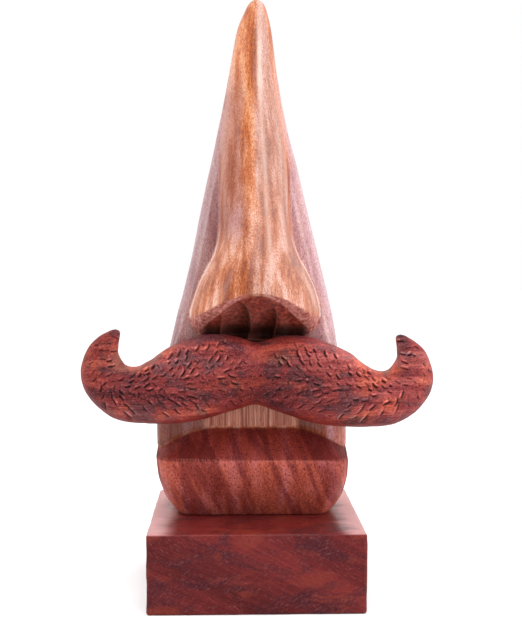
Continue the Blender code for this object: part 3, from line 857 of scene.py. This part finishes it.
# ---------------------------------------------------------------- materials
class Nodes:
    """Short calls for building a node tree."""

    def __init__(self, material):
        material.use_nodes = True
        self.tree = material.node_tree
        self.tree.nodes.clear()
        self.out = self.tree.nodes.new("ShaderNodeOutputMaterial")

    def put(self, socket, value):
        if hasattr(value, "is_linked") or isinstance(value, bpy.types.NodeSocket):
            self.tree.links.new(value, socket)
        elif value is not None:
            socket.default_value = value

    def node(self, kind, **settings):
        made = self.tree.nodes.new(kind)
        for key, value in settings.items():
            setattr(made, key, value)
        return made

    def math(self, operation, a, b=None, clamp=False):
        made = self.node("ShaderNodeMath", operation=operation, use_clamp=clamp)
        self.put(made.inputs[0], a)
        if b is not None:
            self.put(made.inputs[1], b)
        return made.outputs[0]

    def vector(self, operation, a, b):
        made = self.node("ShaderNodeVectorMath", operation=operation)
        self.put(made.inputs[0], a)
        if operation == "SCALE":
            self.put(made.inputs["Scale"], b)
        else:
            self.put(made.inputs[1], b)
        return made.outputs[0]

    def stretch(self, coords, scale, offset=(0, 0, 0)):
        made = self.node("ShaderNodeMapping")
        self.put(made.inputs["Vector"], coords)
        made.inputs["Scale"].default_value = scale
        made.inputs["Location"].default_value = offset
        return made.outputs[0]

    def turn(self, coords, euler):
        made = self.node("ShaderNodeMapping")
        self.put(made.inputs["Vector"], coords)
        made.inputs["Rotation"].default_value = euler
        return made.outputs[0]

    def noise(self, coords, scale=1.0, detail=3.0, roughness=0.55, distortion=0.0, colour=False):
        made = self.node("ShaderNodeTexNoise")
        self.put(made.inputs["Vector"], coords)
        made.inputs["Scale"].default_value = scale
        made.inputs["Detail"].default_value = detail
        made.inputs["Roughness"].default_value = roughness
        made.inputs["Distortion"].default_value = distortion
        return made.outputs["Color" if colour else "Fac"]

    def voronoi(self, coords, scale=1.0, feature="F1"):
        made = self.node("ShaderNodeTexVoronoi", feature=feature)
        self.put(made.inputs["Vector"], coords)
        made.inputs["Scale"].default_value = scale
        return made.outputs["Distance"], made.outputs["Color"]

    def ramp(self, value, stops, interpolation="LINEAR"):
        made = self.node("ShaderNodeValToRGB")
        self.put(made.inputs["Fac"], value)
        ramp = made.color_ramp
        ramp.interpolation = interpolation
        while len(ramp.elements) < len(stops):
            ramp.elements.new(0.5)
        for element, (place, colour) in zip(ramp.elements, stops):
            element.position = place
            element.color = (*colour, 1.0) if isinstance(colour, tuple) else (colour,) * 3 + (1.0,)
        return made.outputs["Color"]

    def range(self, value, a, b, c=0.0, d=1.0):
        made = self.node("ShaderNodeMapRange", interpolation_type="SMOOTHSTEP")
        self.put(made.inputs["Value"], value)
        for key, number in (("From Min", a), ("From Max", b), ("To Min", c), ("To Max", d)):
            made.inputs[key].default_value = number
        return made.outputs["Result"]

    def mix(self, factor, a, b, blend="MIX"):
        made = self.node("ShaderNodeMix", data_type="RGBA", blend_type=blend)
        self.put(made.inputs["Factor"], factor)
        self.put(made.inputs["A"], a if not isinstance(a, tuple) else (*a, 1.0))
        self.put(made.inputs["B"], b if not isinstance(b, tuple) else (*b, 1.0))
        return made.outputs["Result"]

    def attribute(self, name):
        return self.node("ShaderNodeAttribute", attribute_name=name).outputs["Fac"]

    def bump(self, height, strength, distance, normal=None):
        made = self.node("ShaderNodeBump")
        self.put(made.inputs["Height"], height)
        made.inputs["Strength"].default_value = strength
        made.inputs["Distance"].default_value = distance
        if normal is not None:
            self.put(made.inputs["Normal"], normal)
        return made.outputs["Normal"]


def wood(
    name,
    colours,
    grain=(0.0, 0.0, 0.0),
    seed=0.0,
    widths=(0.15, 0.62, 4.2),
    weights=(1.5, 1.25, 0.75),
    wander=10.0,
    pores=1.0,
    veins=0.5,
    roughness=(0.38, 0.55),
    specular=0.3,
    coat=0.4,
    coat_roughness=0.3,
    relief=1.0,
    extras=None,
):
    """Rosewood. colours: light, middle, dark, vein. grain turns the fibres away from upright."""
    material = bpy.data.materials.new(name)
    n = Nodes(material)
    coords = n.node("ShaderNodeTexCoord").outputs["Object"]
    mm = n.stretch(coords, (1000.0, 1000.0, 1000.0))
    along = n.turn(mm, grain)
    along = n.vector("ADD", along, (seed * 37.0, seed * 17.0, seed * 53.0))
    # the whole figure drifts sideways as it climbs
    drift = n.noise(n.stretch(along, (0.02, 0.02, 0.011)), 1.0, 2.0, 0.5, 0.0, True)
    drift = n.vector("MULTIPLY", n.vector("SUBTRACT", drift, (0.5, 0.5, 0.5)), (wander, wander, 0.0))
    ripple = n.noise(n.stretch(along, (0.12, 0.12, 0.10)), 1.0, 2.0, 0.5, 0.0, True)
    ripple = n.vector("MULTIPLY", n.vector("SUBTRACT", ripple, (0.5, 0.5, 0.5)), (0.8, 0.8, 0.0))
    bent = n.vector("ADD", n.vector("ADD", along, drift), ripple)
    a, b, c = widths
    bands = n.noise(n.stretch(bent, (a, a * 0.35, 0.0035)), 1.0, 2.0, 0.5)
    streaks = n.noise(n.stretch(bent, (b, b * 0.4, 0.010), (3.0, 8.0, 1.0)), 1.0, 4.0, 0.62)
    fibres = n.noise(n.stretch(bent, (c, c, 0.14)), 1.0, 3.0, 0.7)
    fine = n.noise(n.stretch(bent, (11.0, 11.0, 0.9)), 1.0, 2.0, 0.6)
    patch = n.noise(n.stretch(along, (0.055, 0.055, 0.03)), 1.0, 3.0, 0.55, 0.4)
    blend = n.math("MULTIPLY", n.math("SUBTRACT", bands, 0.5), weights[0])
    blend = n.math("ADD", blend, n.math("MULTIPLY", n.math("SUBTRACT", streaks, 0.5), weights[1]))
    blend = n.math("ADD", blend, n.math("MULTIPLY", n.math("SUBTRACT", fibres, 0.5), weights[2]))
    blend = n.math("ADD", blend, 0.45)
    light, middle, dark, vein = colours
    colour = n.ramp(blend, ((0.08, light), (0.42, middle), (0.72, dark), (0.98, vein)))
    # narrow dark veins that follow the figure
    line = n.noise(n.stretch(bent, (0.30, 0.12, 0.006), (5.0, 9.0, 2.0)), 1.0, 3.0, 0.6)
    line = n.range(n.math("ABSOLUTE", n.math("SUBTRACT", line, 0.5)), 0.0, 0.03, 1.0, 0.0)
    line = n.math("MULTIPLY", line, n.range(patch, 0.40, 0.62, 0.1 * veins, 1.0 * veins))
    colour = n.mix(line, colour, vein)
    # open pores: short dark dashes along the fibres
    far, cell = n.voronoi(n.stretch(bent, (2.3, 2.3, 0.42)), 1.0)
    pick = n.node("ShaderNodeSeparateColor")
    n.put(pick.inputs[0], cell)
    pore = n.math("MULTIPLY", n.range(far, 0.10, 0.24, 1.0, 0.0), n.range(pick.outputs[0], 0.25, 0.45))
    near, _ = n.voronoi(n.stretch(bent, (4.4, 4.4, 0.9), (3.0, 1.0, 7.0)), 1.0)
    small = n.math("MULTIPLY", n.range(near, 0.10, 0.3, 0.8, 0.0), n.range(streaks, 0.40, 0.58, 0.35, 1.0))
    pore = n.math("MAXIMUM", pore, small)
    colour = n.mix(n.math("MULTIPLY", pore, 0.5 * pores), colour, vein)
    colour = n.mix(n.range(fine, 0.35, 0.65, 0.0, 0.30), colour, n.mix(1.0, colour, (1.45, 1.4, 1.35), "MULTIPLY"))
    # painted shade darkens the hollows; the finish wears paler on proud edges
    bend = n.attribute("bend")
    shade = n.mix(1.0, colour, (0.45, 0.34, 0.34), "MULTIPLY")
    worn = n.mix(1.0, colour, (1.45, 1.5, 1.5), "MULTIPLY")
    colour = n.mix(n.range(bend, 0.06, 0.6, 0.0, 0.65), colour, shade)
    colour = n.mix(n.range(bend, -0.15, -0.8, 0.0, 0.4), colour, worn)
    rough = n.range(fibres, 0.25, 0.75, roughness[0], roughness[1])
    rough = n.math("ADD", rough, n.math("MULTIPLY", pore, 0.22))
    height = n.math("ADD", n.math("MULTIPLY", fibres, 0.6), n.math("MULTIPLY", fine, 0.5))
    height = n.math("SUBTRACT", height, n.math("MULTIPLY", pore, 0.9 * pores))
    shader = n.node("ShaderNodeBsdfPrincipled")
    state = {
        "n": n, "colour": colour, "rough": rough, "height": height, "mm": mm, "bent": bent,
        "bend": bend, "fine": fine, "fibres": fibres, "patch": patch, "streaks": streaks, "pore": pore,
    }
    if extras:
        extras(state)
    n.put(shader.inputs["Base Color"], state["colour"])
    n.put(shader.inputs["Roughness"], state["rough"])
    n.put(shader.inputs["Normal"], n.bump(state["height"], 0.5 * relief, 0.00015))
    shader.inputs["Specular IOR Level"].default_value = specular
    n.put(shader.inputs["Coat Weight"], state.get("coat", coat))
    shader.inputs["Coat Roughness"].default_value = coat_roughness
    n.put(n.out.inputs["Surface"], shader.outputs[0])
    return material


def tint(n, colour, by):
    return n.mix(1.0, colour, by, "MULTIPLY")


def post_extras(state):
    """The raw flat lip, the redder chin below it, the dark hollow under the nose (end grain and painted shade), and
    painted light and shade on the nose and cheeks.
    """
    n = state["n"]
    place = n.node("ShaderNodeSeparateXYZ")
    n.put(place.inputs[0], state["mm"])
    x, y, z = place.outputs["X"], place.outputs["Y"], place.outputs["Z"]
    low = n.math("MULTIPLY", n.attribute("lower"), n.range(y, 1.0, -6.0))
    chin = n.mix(0.72, state["colour"], (0.31, 0.098, 0.046))
    chin = tint(n, chin, (1.08, 0.68, 0.96))
    # slanting dark bands across the chin
    slant = n.turn(state["mm"], (0.0, math.radians(21.0), 0.0))
    slant = n.noise(n.stretch(slant, (0.26, 0.06, 0.020), (2.0, 4.0, 9.0)), 1.0, 4.0, 0.6, 0.3)
    chin = n.mix(n.range(slant, 0.44, 0.58, 0.0, 0.75), chin, tint(n, chin, (0.45, 0.30, 0.44)))
    # the upper facet of the chin is darker, partly its own end grain and partly painted shadow from the moustache
    facet = n.range(z, CHIN_RIDGE_Z - 0.3, CHIN_RIDGE_Z + 0.3)
    chin = n.mix(n.math("MULTIPLY", facet, 0.9), chin, tint(n, chin, (0.46, 0.22, 0.22)))
    dash = n.noise(n.stretch(n.turn(state["mm"], (0.0, math.radians(8.0), 0.0)), (3.0, 3.0, 0.36), (7.0, 3.0, 5.0)), 1.0, 3.0, 0.7)
    chin = n.mix(n.range(dash, 0.52, 0.62, 0.0, 0.8), chin, tint(n, chin, (0.26, 0.15, 0.20)))
    chin = n.mix(n.range(dash, 0.46, 0.36, 0.0, 0.7), chin, tint(n, chin, (1.45, 1.65, 1.5)))
    # painted light on the nose: painted shade left of the bridge, the left flank out of the glare painted warmer, a
    # pale painted glare right of the ridge where the coat is also heavier, and painted shade with a pinkish painted
    # sheen on the cheeks
    colour = n.mix(n.math("MULTIPLY", n.attribute("shade"), 0.85), state["colour"], tint(n, state["colour"], (0.55, 0.46, 0.66)))
    warm = tint(n, colour, (1.10, 0.97, 0.62))
    colour = n.mix(n.math("MULTIPLY", n.attribute("amber"), 0.85), colour, warm)
    pale = tint(n, n.mix(0.5, state["colour"], (0.33, 0.165, 0.125)), (0.90, 1.02, 1.20))
    colour = n.mix(n.math("MULTIPLY", n.attribute("pale"), 0.8), colour, pale)
    # painted shade on the cheeks beside the nose, darkest on the left, with a pinkish painted sheen towards the right
    cheek_shade_and_sheen = n.mix(n.range(x, -10.0, 14.0), (0.125, 0.054, 0.084), (0.31, 0.175, 0.215))
    cheek_shade_and_sheen = n.mix(0.75, state["colour"], cheek_shade_and_sheen)
    colour = n.mix(n.math("MULTIPLY", n.attribute("slab"), 0.9), colour, cheek_shade_and_sheen)
    # painted glare, pale lavender, along the side edges of the post
    colour = n.mix(n.math("MULTIPLY", n.attribute("edge_glare"), n.range(x, -14.0, 14.0, 0.30, 0.45)), colour, (0.62, 0.47, 0.52))
    # a painted highlight along the outline of each nose wing
    colour = n.mix(n.math("MULTIPLY", n.attribute("rim"), 0.8), colour, (0.78, 0.60, 0.55))
    # painted shadow below the moustache beside the chin, darkest on the left, lighter and bluer towards the right end
    moustache_shadow = tint(n, state["colour"], n.mix(n.range(x, 14.0, 22.0), (0.30, 0.16, 0.22), (0.80, 0.66, 1.10)))
    colour = n.mix(n.math("MULTIPLY", n.attribute("beside"), 0.9), colour, moustache_shadow)
    speck = n.noise(n.stretch(state["bent"], (3.6, 3.6, 1.3), (1.0, 6.0, 2.0)), 1.0, 3.0, 0.75)
    colour = n.mix(n.range(speck, 0.51, 0.61, 0.0, 0.85), colour, tint(n, colour, (0.50, 0.34, 0.25)))
    colour = n.mix(n.range(speck, 0.47, 0.37, 0.0, 0.6), colour, tint(n, colour, (1.28, 1.48, 1.60)))
    # a painted highlight streak just right of the ridge
    colour = n.mix(n.math("MULTIPLY", n.attribute("glint"), n.range(state["streaks"], 0.35, 0.65, 0.25, 0.55)), colour, (0.58, 0.40, 0.33))
    height = n.math("ADD", CHIN_RIDGE_Z, n.math("MULTIPLY", x, -0.022))
    crest = n.range(n.math("ABSOLUTE", n.math("SUBTRACT", z, height)), 0.10, 0.32, 1.0, 0.0)
    chin = n.mix(n.math("MULTIPLY", crest, n.range(dash, 0.56, 0.44, 0.0, 0.30)), chin, (0.36, 0.115, 0.085))
    colour = n.mix(low, colour, chin)
    # end grain and finish make the underside of the nose dark, and part of that dark is painted shade under the nose
    under, chamfer = n.attribute("under"), n.attribute("chamfer")
    maroon = n.ramp(
        n.noise(n.stretch(state["mm"], (0.8, 0.8, 0.9)), 1.0, 4.0, 0.6),
        ((0.36, (0.05, 0.005, 0.005)), (0.50, (0.13, 0.014, 0.012)), (0.64, (0.27, 0.045, 0.030))),
    )
    # painted shadow, near black, where the underside runs down to the moustache
    maroon = n.mix(n.range(z, 76.2, 73.6, 0.0, 0.95), maroon, (0.008, 0.001, 0.002))
    # painted light and shade in the two scoops: the left of each painted lighter, the right darker, and a painted
    # highlight along their rims
    scoop = n.attribute("scoop")
    lit = n.math("MULTIPLY", n.range(scoop, 0.08, 0.35), n.range(n.attribute("side"), 0.35, -0.7))
    dim = n.math("MULTIPLY", n.range(scoop, 0.08, 0.30), n.range(n.attribute("side"), 0.05, 0.8))
    maroon = n.mix(n.math("MULTIPLY", lit, 0.75), maroon, n.mix(0.5, tint(n, maroon, (2.4, 3.0, 3.0)), (0.24, 0.065, 0.055)))
    maroon = n.mix(n.math("MULTIPLY", dim, 0.85), maroon, tint(n, maroon, (0.22, 0.12, 0.12)))
    scoop_rim_highlight = n.math("MULTIPLY", n.range(scoop, 0.04, 0.16), n.range(scoop, 0.42, 0.26))
    maroon = n.mix(n.math("MULTIPLY", scoop_rim_highlight, 0.7), maroon, (0.25, 0.075, 0.060))
    colour = n.mix(n.math("MULTIPLY", under, 0.92), colour, maroon)
    rough_cut = n.ramp(
        n.noise(n.stretch(state["mm"], (1.1, 1.1, 0.9)), 1.0, 4.0, 0.65),
        ((0.34, (0.16, 0.030, 0.030)), (0.50, (0.36, 0.115, 0.100)), (0.64, (0.58, 0.27, 0.24))),
    )
    colour = n.mix(n.math("MULTIPLY", chamfer, 0.85), colour, rough_cut)
    state["coat"] = n.math("MULTIPLY", n.math("SUBTRACT", 1.0, n.math("MULTIPLY", n.math("MAXIMUM", low, n.math("MAXIMUM", under, chamfer)), 0.9)), n.math("ADD", 0.30, n.math("MULTIPLY", n.math("MAXIMUM", n.attribute("pale"), n.math("MULTIPLY", n.attribute("slab"), 0.5)), 0.5)))
    raw = n.attribute("raw")
    lines = n.noise(n.stretch(state["mm"], (1.5, 0.2, 0.035)), 1.0, 3.0, 0.75)
    marks = n.noise(n.stretch(state["mm"], (5.0, 0.3, 0.30)), 1.0, 2.0, 0.6)
    tan = n.ramp(lines, ((0.34, (0.15, 0.030, 0.022)), (0.48, (0.34, 0.105, 0.066)), (0.64, (0.56, 0.25, 0.17))))
    tan = n.mix(n.range(marks, 0.54, 0.66, 0.0, 0.75), tan, (0.12, 0.03, 0.02))
    state["colour"] = n.mix(raw, colour, tan)
    rough = n.math("ADD", state["rough"], n.math("MULTIPLY", low, 0.12))
    rough = n.math("ADD", rough, n.math("MULTIPLY", under, 0.2))
    state["rough"] = n.mix(raw, rough, (0.85, 0.85, 0.85))
    state["height"] = n.math("ADD", state["height"], n.math("MULTIPLY", n.math("MULTIPLY", lines, raw), 4.0))


def moustache_extras(state):
    n = state["n"]
    colour = state["colour"]
    grey = n.noise(n.stretch(state["mm"], (0.10, 0.10, 0.15)), 1.0, 3.0, 0.6, 0.8)
    colour = n.mix(n.range(grey, 0.48, 0.58, 0.0, 0.8), colour, tint(n, colour, (0.46, 0.85, 1.05)))
    glow = n.noise(n.stretch(state["mm"], (0.085, 0.085, 0.13), (11, 5, 3)), 1.0, 3.0, 0.6, 0.6)
    colour = n.mix(n.range(glow, 0.48, 0.66, 0.0, 0.6), colour, tint(n, colour, (1.75, 1.85, 1.0)))
    grain = n.noise(n.stretch(state["mm"], (0.25, 3.0, 3.0)), 1.0, 3.0, 0.6)
    colour = n.mix(n.range(grain, 0.35, 0.65, 0.0, 0.40), colour, tint(n, colour, (1.6, 1.7, 1.75)))
    scratch = n.noise(n.stretch(n.turn(state["mm"], (0.0, math.radians(35), 0.0)), (0.9, 2.5, 5.0)), 1.0, 3.0, 0.7, 0.5)
    colour = n.mix(n.range(scratch, 0.56, 0.66, 0.0, 0.55), colour, tint(n, colour, (2.1, 2.5, 2.4)))
    colour = n.mix(n.range(scratch, 0.46, 0.36, 0.0, 0.65), colour, tint(n, colour, (0.42, 0.32, 0.36)))
    state["height"] = n.math("ADD", state["height"], n.math("MULTIPLY", scratch, 1.2))
    where = n.node("ShaderNodeSeparateXYZ")
    n.put(where.inputs[0], state["mm"])
    across_x = where.outputs["X"]
    # painted shade, darker in the middle below the nose, and painted light, paler towards the right end
    middle = n.range(n.math("ABSOLUTE", across_x), 18.0, 4.0)
    colour = n.mix(n.math("MULTIPLY", middle, 0.9), colour, tint(n, colour, (0.70, 0.56, 0.60)))
    colour = n.mix(n.range(across_x, 16.0, 36.0, 0.0, 0.6), colour, tint(n, colour, (1.38, 1.62, 1.62)))
    # painted highlight specks in pale pink, and small dark flecks in the grain
    spark = n.noise(n.stretch(state["mm"], (2.6, 2.6, 2.6), (3.0, 8.0, 1.0)), 1.0, 2.0, 0.6)
    colour = n.mix(n.range(spark, 0.60, 0.70, 0.0, 0.55), colour, (0.36, 0.14, 0.13))
    colour = n.mix(n.range(spark, 0.40, 0.30, 0.0, 0.6), colour, tint(n, colour, (0.4, 0.3, 0.32)))
    # the raised lip beyond each cut is painted lighter as a highlight, the scallop painted darker as shade, and the cut
    # line painted near black as its shadow
    nick, cut, lip = n.attribute("nick"), n.attribute("cut"), n.attribute("lip")
    colour = n.mix(n.range(lip, 0.02, 0.10, 0.0, 0.7), colour, tint(n, colour, (2.3, 3.3, 3.3)))
    colour = n.mix(n.range(nick, 0.05, 0.5, 0.0, 0.3), colour, tint(n, colour, (0.62, 0.5, 0.5)))
    colour = n.mix(n.range(cut, 0.10, 0.60, 0.0, 0.95), colour, tint(n, colour, (0.14, 0.06, 0.07)))
    # painted light: the top edge of the moustache paler, as lit from above
    colour = n.mix(n.range(n.attribute("across"), 0.45, 0.85, 0.0, 0.8), colour, tint(n, colour, (1.45, 1.60, 1.60)))
    # a smooth redder band along the lower edge
    lower = n.range(n.attribute("across"), -0.80, -0.92)
    state["colour"] = n.mix(n.math("MULTIPLY", lower, 0.6), colour, (0.17, 0.014, 0.010))


def base_extras(state):
    """Interlocked grain: cloudy patches and short curled fibres."""
    n = state["n"]
    mm = state["mm"]
    cloud = n.noise(n.stretch(mm, (0.055, 0.10, 0.10), (4.0, 1.0, 7.0)), 1.0, 4.0, 0.6, 0.9)
    colour = n.mix(n.range(cloud, 0.50, 0.66, 0.0, 0.7), state["colour"], (0.040, 0.0065, 0.012))
    warm = n.noise(n.stretch(mm, (0.07, 0.10, 0.14), (9.0, 6.0, 2.0)), 1.0, 4.0, 0.6, 0.9)
    colour = n.mix(n.range(warm, 0.52, 0.68, 0.0, 0.75), colour, (0.165, 0.022, 0.014))
    one = n.noise(n.stretch(n.turn(mm, (0.0, math.radians(48), 0.0)), (4.2, 4.2, 0.9)), 1.0, 3.0, 0.7, 0.6)
    two = n.noise(n.stretch(n.turn(mm, (0.0, math.radians(-52), 0.0)), (4.2, 4.2, 0.9), (5.0, 2.0, 8.0)), 1.0, 3.0, 0.7, 0.6)
    curl = n.mix(n.range(cloud, 0.42, 0.58), one, two)
    curl = n.math("MULTIPLY", curl, 1.0)
    colour = n.mix(n.range(curl, 0.54, 0.68, 0.0, 0.5), colour, (0.235, 0.075, 0.075))
    colour = n.mix(n.range(curl, 0.46, 0.34, 0.0, 0.6), colour, tint(n, colour, (0.45, 0.35, 0.4)))
    # the top is polished and tinted warmer, and paler at its two open ends on both sides of the post
    place = n.node("ShaderNodeSeparateXYZ")
    n.put(place.inputs[0], mm)
    top = n.range(place.outputs["Z"], BASE_H - 0.5, BASE_H - 0.1)
    ends = n.range(n.math("ADD", n.math("ABSOLUTE", place.outputs["X"]), n.math("MULTIPLY", n.math("SUBTRACT", warm, 0.5), 8.0)), 20.5, 27.5)
    colour = n.mix(n.math("MULTIPLY", n.math("MULTIPLY", top, ends), 0.8), colour, (0.52, 0.27, 0.30))
    colour = n.mix(n.math("MULTIPLY", top, 0.5), colour, tint(n, colour, (1.35, 1.10, 0.85)))
    state["coat"] = n.math("ADD", 0.03, n.math("MULTIPLY", top, 0.45))
    state["colour"] = colour
    state["height"] = n.math("ADD", state["height"], curl)


def metal(name, colour, roughness):
    material = bpy.data.materials.new(name)
    n = Nodes(material)
    coords = n.stretch(n.node("ShaderNodeTexCoord").outputs["Object"], (1000.0,) * 3)
    grit = n.noise(coords, 6.0, 3.0, 0.6)
    cloud = n.noise(coords, 0.8, 3.0, 0.6)
    shader = n.node("ShaderNodeBsdfPrincipled")
    shader.inputs["Metallic"].default_value = 1.0
    n.put(shader.inputs["Base Color"], n.ramp(cloud, ((0.3, tuple(0.8 * c for c in colour)), (0.7, colour))))
    n.put(shader.inputs["Roughness"], n.range(grit, 0.3, 0.7, roughness, roughness + 0.18))
    n.put(shader.inputs["Normal"], n.bump(grit, 0.15, 0.00005))
    n.put(n.out.inputs["Surface"], shader.outputs[0])
    return material


POST_WOOD = ((0.560, 0.290, 0.215), (0.470, 0.172, 0.085), (0.345, 0.086, 0.024), (0.215, 0.050, 0.020))
MOUSTACHE_WOOD = ((0.235, 0.047, 0.042), (0.140, 0.018, 0.018), (0.072, 0.008, 0.010), (0.026, 0.003, 0.004))
BASE_WOOD = ((0.150, 0.016, 0.015), (0.100, 0.0085, 0.0090), (0.060, 0.0042, 0.0048), (0.026, 0.0022, 0.003))

post = make_post()
moustache = make_moustache()
base = make_base()
drill(base, screw_holes())

post.data.materials.append(
    wood(
        "post_sheesham", POST_WOOD, seed=6.0, widths=(0.30, 0.70, 2.8), weights=(2.3, 1.5, 1.2), veins=0.15,
        pores=1.35, roughness=(0.36, 0.52), coat_roughness=0.22, specular=0.14, extras=post_extras,
    )
)
moustache.data.materials.append(
    wood(
        "moustache_sheesham", MOUSTACHE_WOOD, grain=(0.0, math.radians(90), 0.0), seed=5.0, pores=0.6, veins=0.35,
        wander=6.0, weights=(1.3, 1.2, 1.2), roughness=(0.46, 0.62), specular=0.10, coat=0.04, coat_roughness=0.35,
        relief=1.1, extras=moustache_extras,
    )
)
base.data.materials.append(
    wood(
        "base_rosewood", BASE_WOOD, grain=(0.0, math.radians(64), math.radians(8)), seed=3.0, pores=0.5, veins=0.3,
        wander=8.0, weights=(1.5, 0.9, 0.7), roughness=(0.48, 0.66), specular=0.12, coat=0.55, coat_roughness=0.2,
        extras=base_extras,
    )
)
for piece, node, slot in (
    (post, "nose_post", "post_wood"),
    (moustache, "moustache", "moustache_wood"),
    (base, "base_block", "base_wood"),
):
    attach(piece, "root")
    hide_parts(node)

zinc = metal("zinc_plate", (0.72, 0.71, 0.68), 0.26)
beech = wood(
    "beech", ((0.72, 0.52, 0.33), (0.62, 0.42, 0.25), (0.48, 0.30, 0.17), (0.3, 0.17, 0.09)),
    grain=(math.radians(90), 0.0, 0.0), seed=5.0, veins=0.1, roughness=(0.55, 0.7), coat=0.0,
)
for name, material in (
    ("base_screw_left", zinc), ("base_screw_right", zinc),
    ("moustache_dowel_left", beech), ("moustache_dowel_right", beech),
):
    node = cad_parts[name]
    if not node.material_slots:
        node.data.materials.append(material)
    for place in node.material_slots:
        place.material = material

# ---------------------------------------------------------------- stage, light and camera
floor_mesh = bpy.data.meshes.new("studio_floor")
bm = bmesh.new()
bmesh.ops.create_grid(bm, x_segments=2, y_segments=2, size=3.0)
bm.to_mesh(floor_mesh)
bm.free()
floor = bpy.data.objects.new("studio_floor", floor_mesh)
scene.collection.objects.link(floor)
pale = bpy.data.materials.new("pale_floor")
pale.use_nodes = True
shader = pale.node_tree.nodes["Principled BSDF"]
shader.inputs["Base Color"].default_value = (0.93, 0.93, 0.93, 1.0)
shader.inputs["Roughness"].default_value = 0.9
floor.data.materials.append(pale)

world = bpy.data.worlds.new("studio")
scene.world = world
world.use_nodes = True
tree = world.node_tree
toward = tree.nodes.new("ShaderNodeTexCoord")
split = tree.nodes.new("ShaderNodeSeparateXYZ")
tree.links.new(toward.outputs["Generated"], split.inputs[0])
# white behind the object, a little dimmer on the side that its face looks at
level = tree.nodes.new("ShaderNodeMapRange")
level.interpolation_type = "SMOOTHSTEP"
for key, number in (("From Min", -0.9), ("From Max", 0.45), ("To Min", 0.85), ("To Max", 1.0)):
    level.inputs[key].default_value = number
tree.links.new(split.outputs["Y"], level.inputs["Value"])
sky = tree.nodes["Background"]
sky.inputs["Color"].default_value = (1.0, 1.0, 1.0, 1.0)
tree.links.new(level.outputs["Result"], sky.inputs["Strength"])


def softbox(name, place, target, size, power, colour=(1, 1, 1)):
    data = bpy.data.lights.new(name, "AREA")
    data.shape = "RECTANGLE"
    data.size, data.size_y = size
    data.energy = power
    data.color = colour
    light = bpy.data.objects.new(name, data)
    light.location = place
    direction = Vector(target) - Vector(place)
    light.rotation_euler = direction.to_track_quat("-Z", "Y").to_euler()
    scene.collection.objects.link(light)
    return light


softbox("right_box", (0.58, -0.20, 0.22), (0, 0, 0.09), (0.22, 0.6), 3.6)
softbox("left_box", (-0.6, 0.02, 0.22), (0, 0, 0.09), (0.16, 0.6), 1.6)
softbox("top_box", (-0.05, -0.40, 0.75), (0, 0, 0.08), (0.5, 0.4), 2.0)
fill = bpy.data.objects.new("overhead", bpy.data.lights.new("overhead", "SUN"))
fill.data.energy = 0.8
fill.data.angle = math.radians(100)
scene.collection.objects.link(fill)

camera_data = bpy.data.cameras.new("camera")
camera = bpy.data.objects.new("camera", camera_data)
scene.collection.objects.link(camera)
camera_data.sensor_fit = "VERTICAL"
camera_data.sensor_height = 36.0
camera_data.lens = 63.65
camera_data.clip_start = 0.01
camera_data.clip_end = 20.0
camera.location = (-0.0067, -0.314, 0.0923)
camera.rotation_euler = (math.radians(90 - 2.617), 0.0, math.radians(-1.555))
scene.camera = camera
scene.view_settings.view_transform = "Standard"
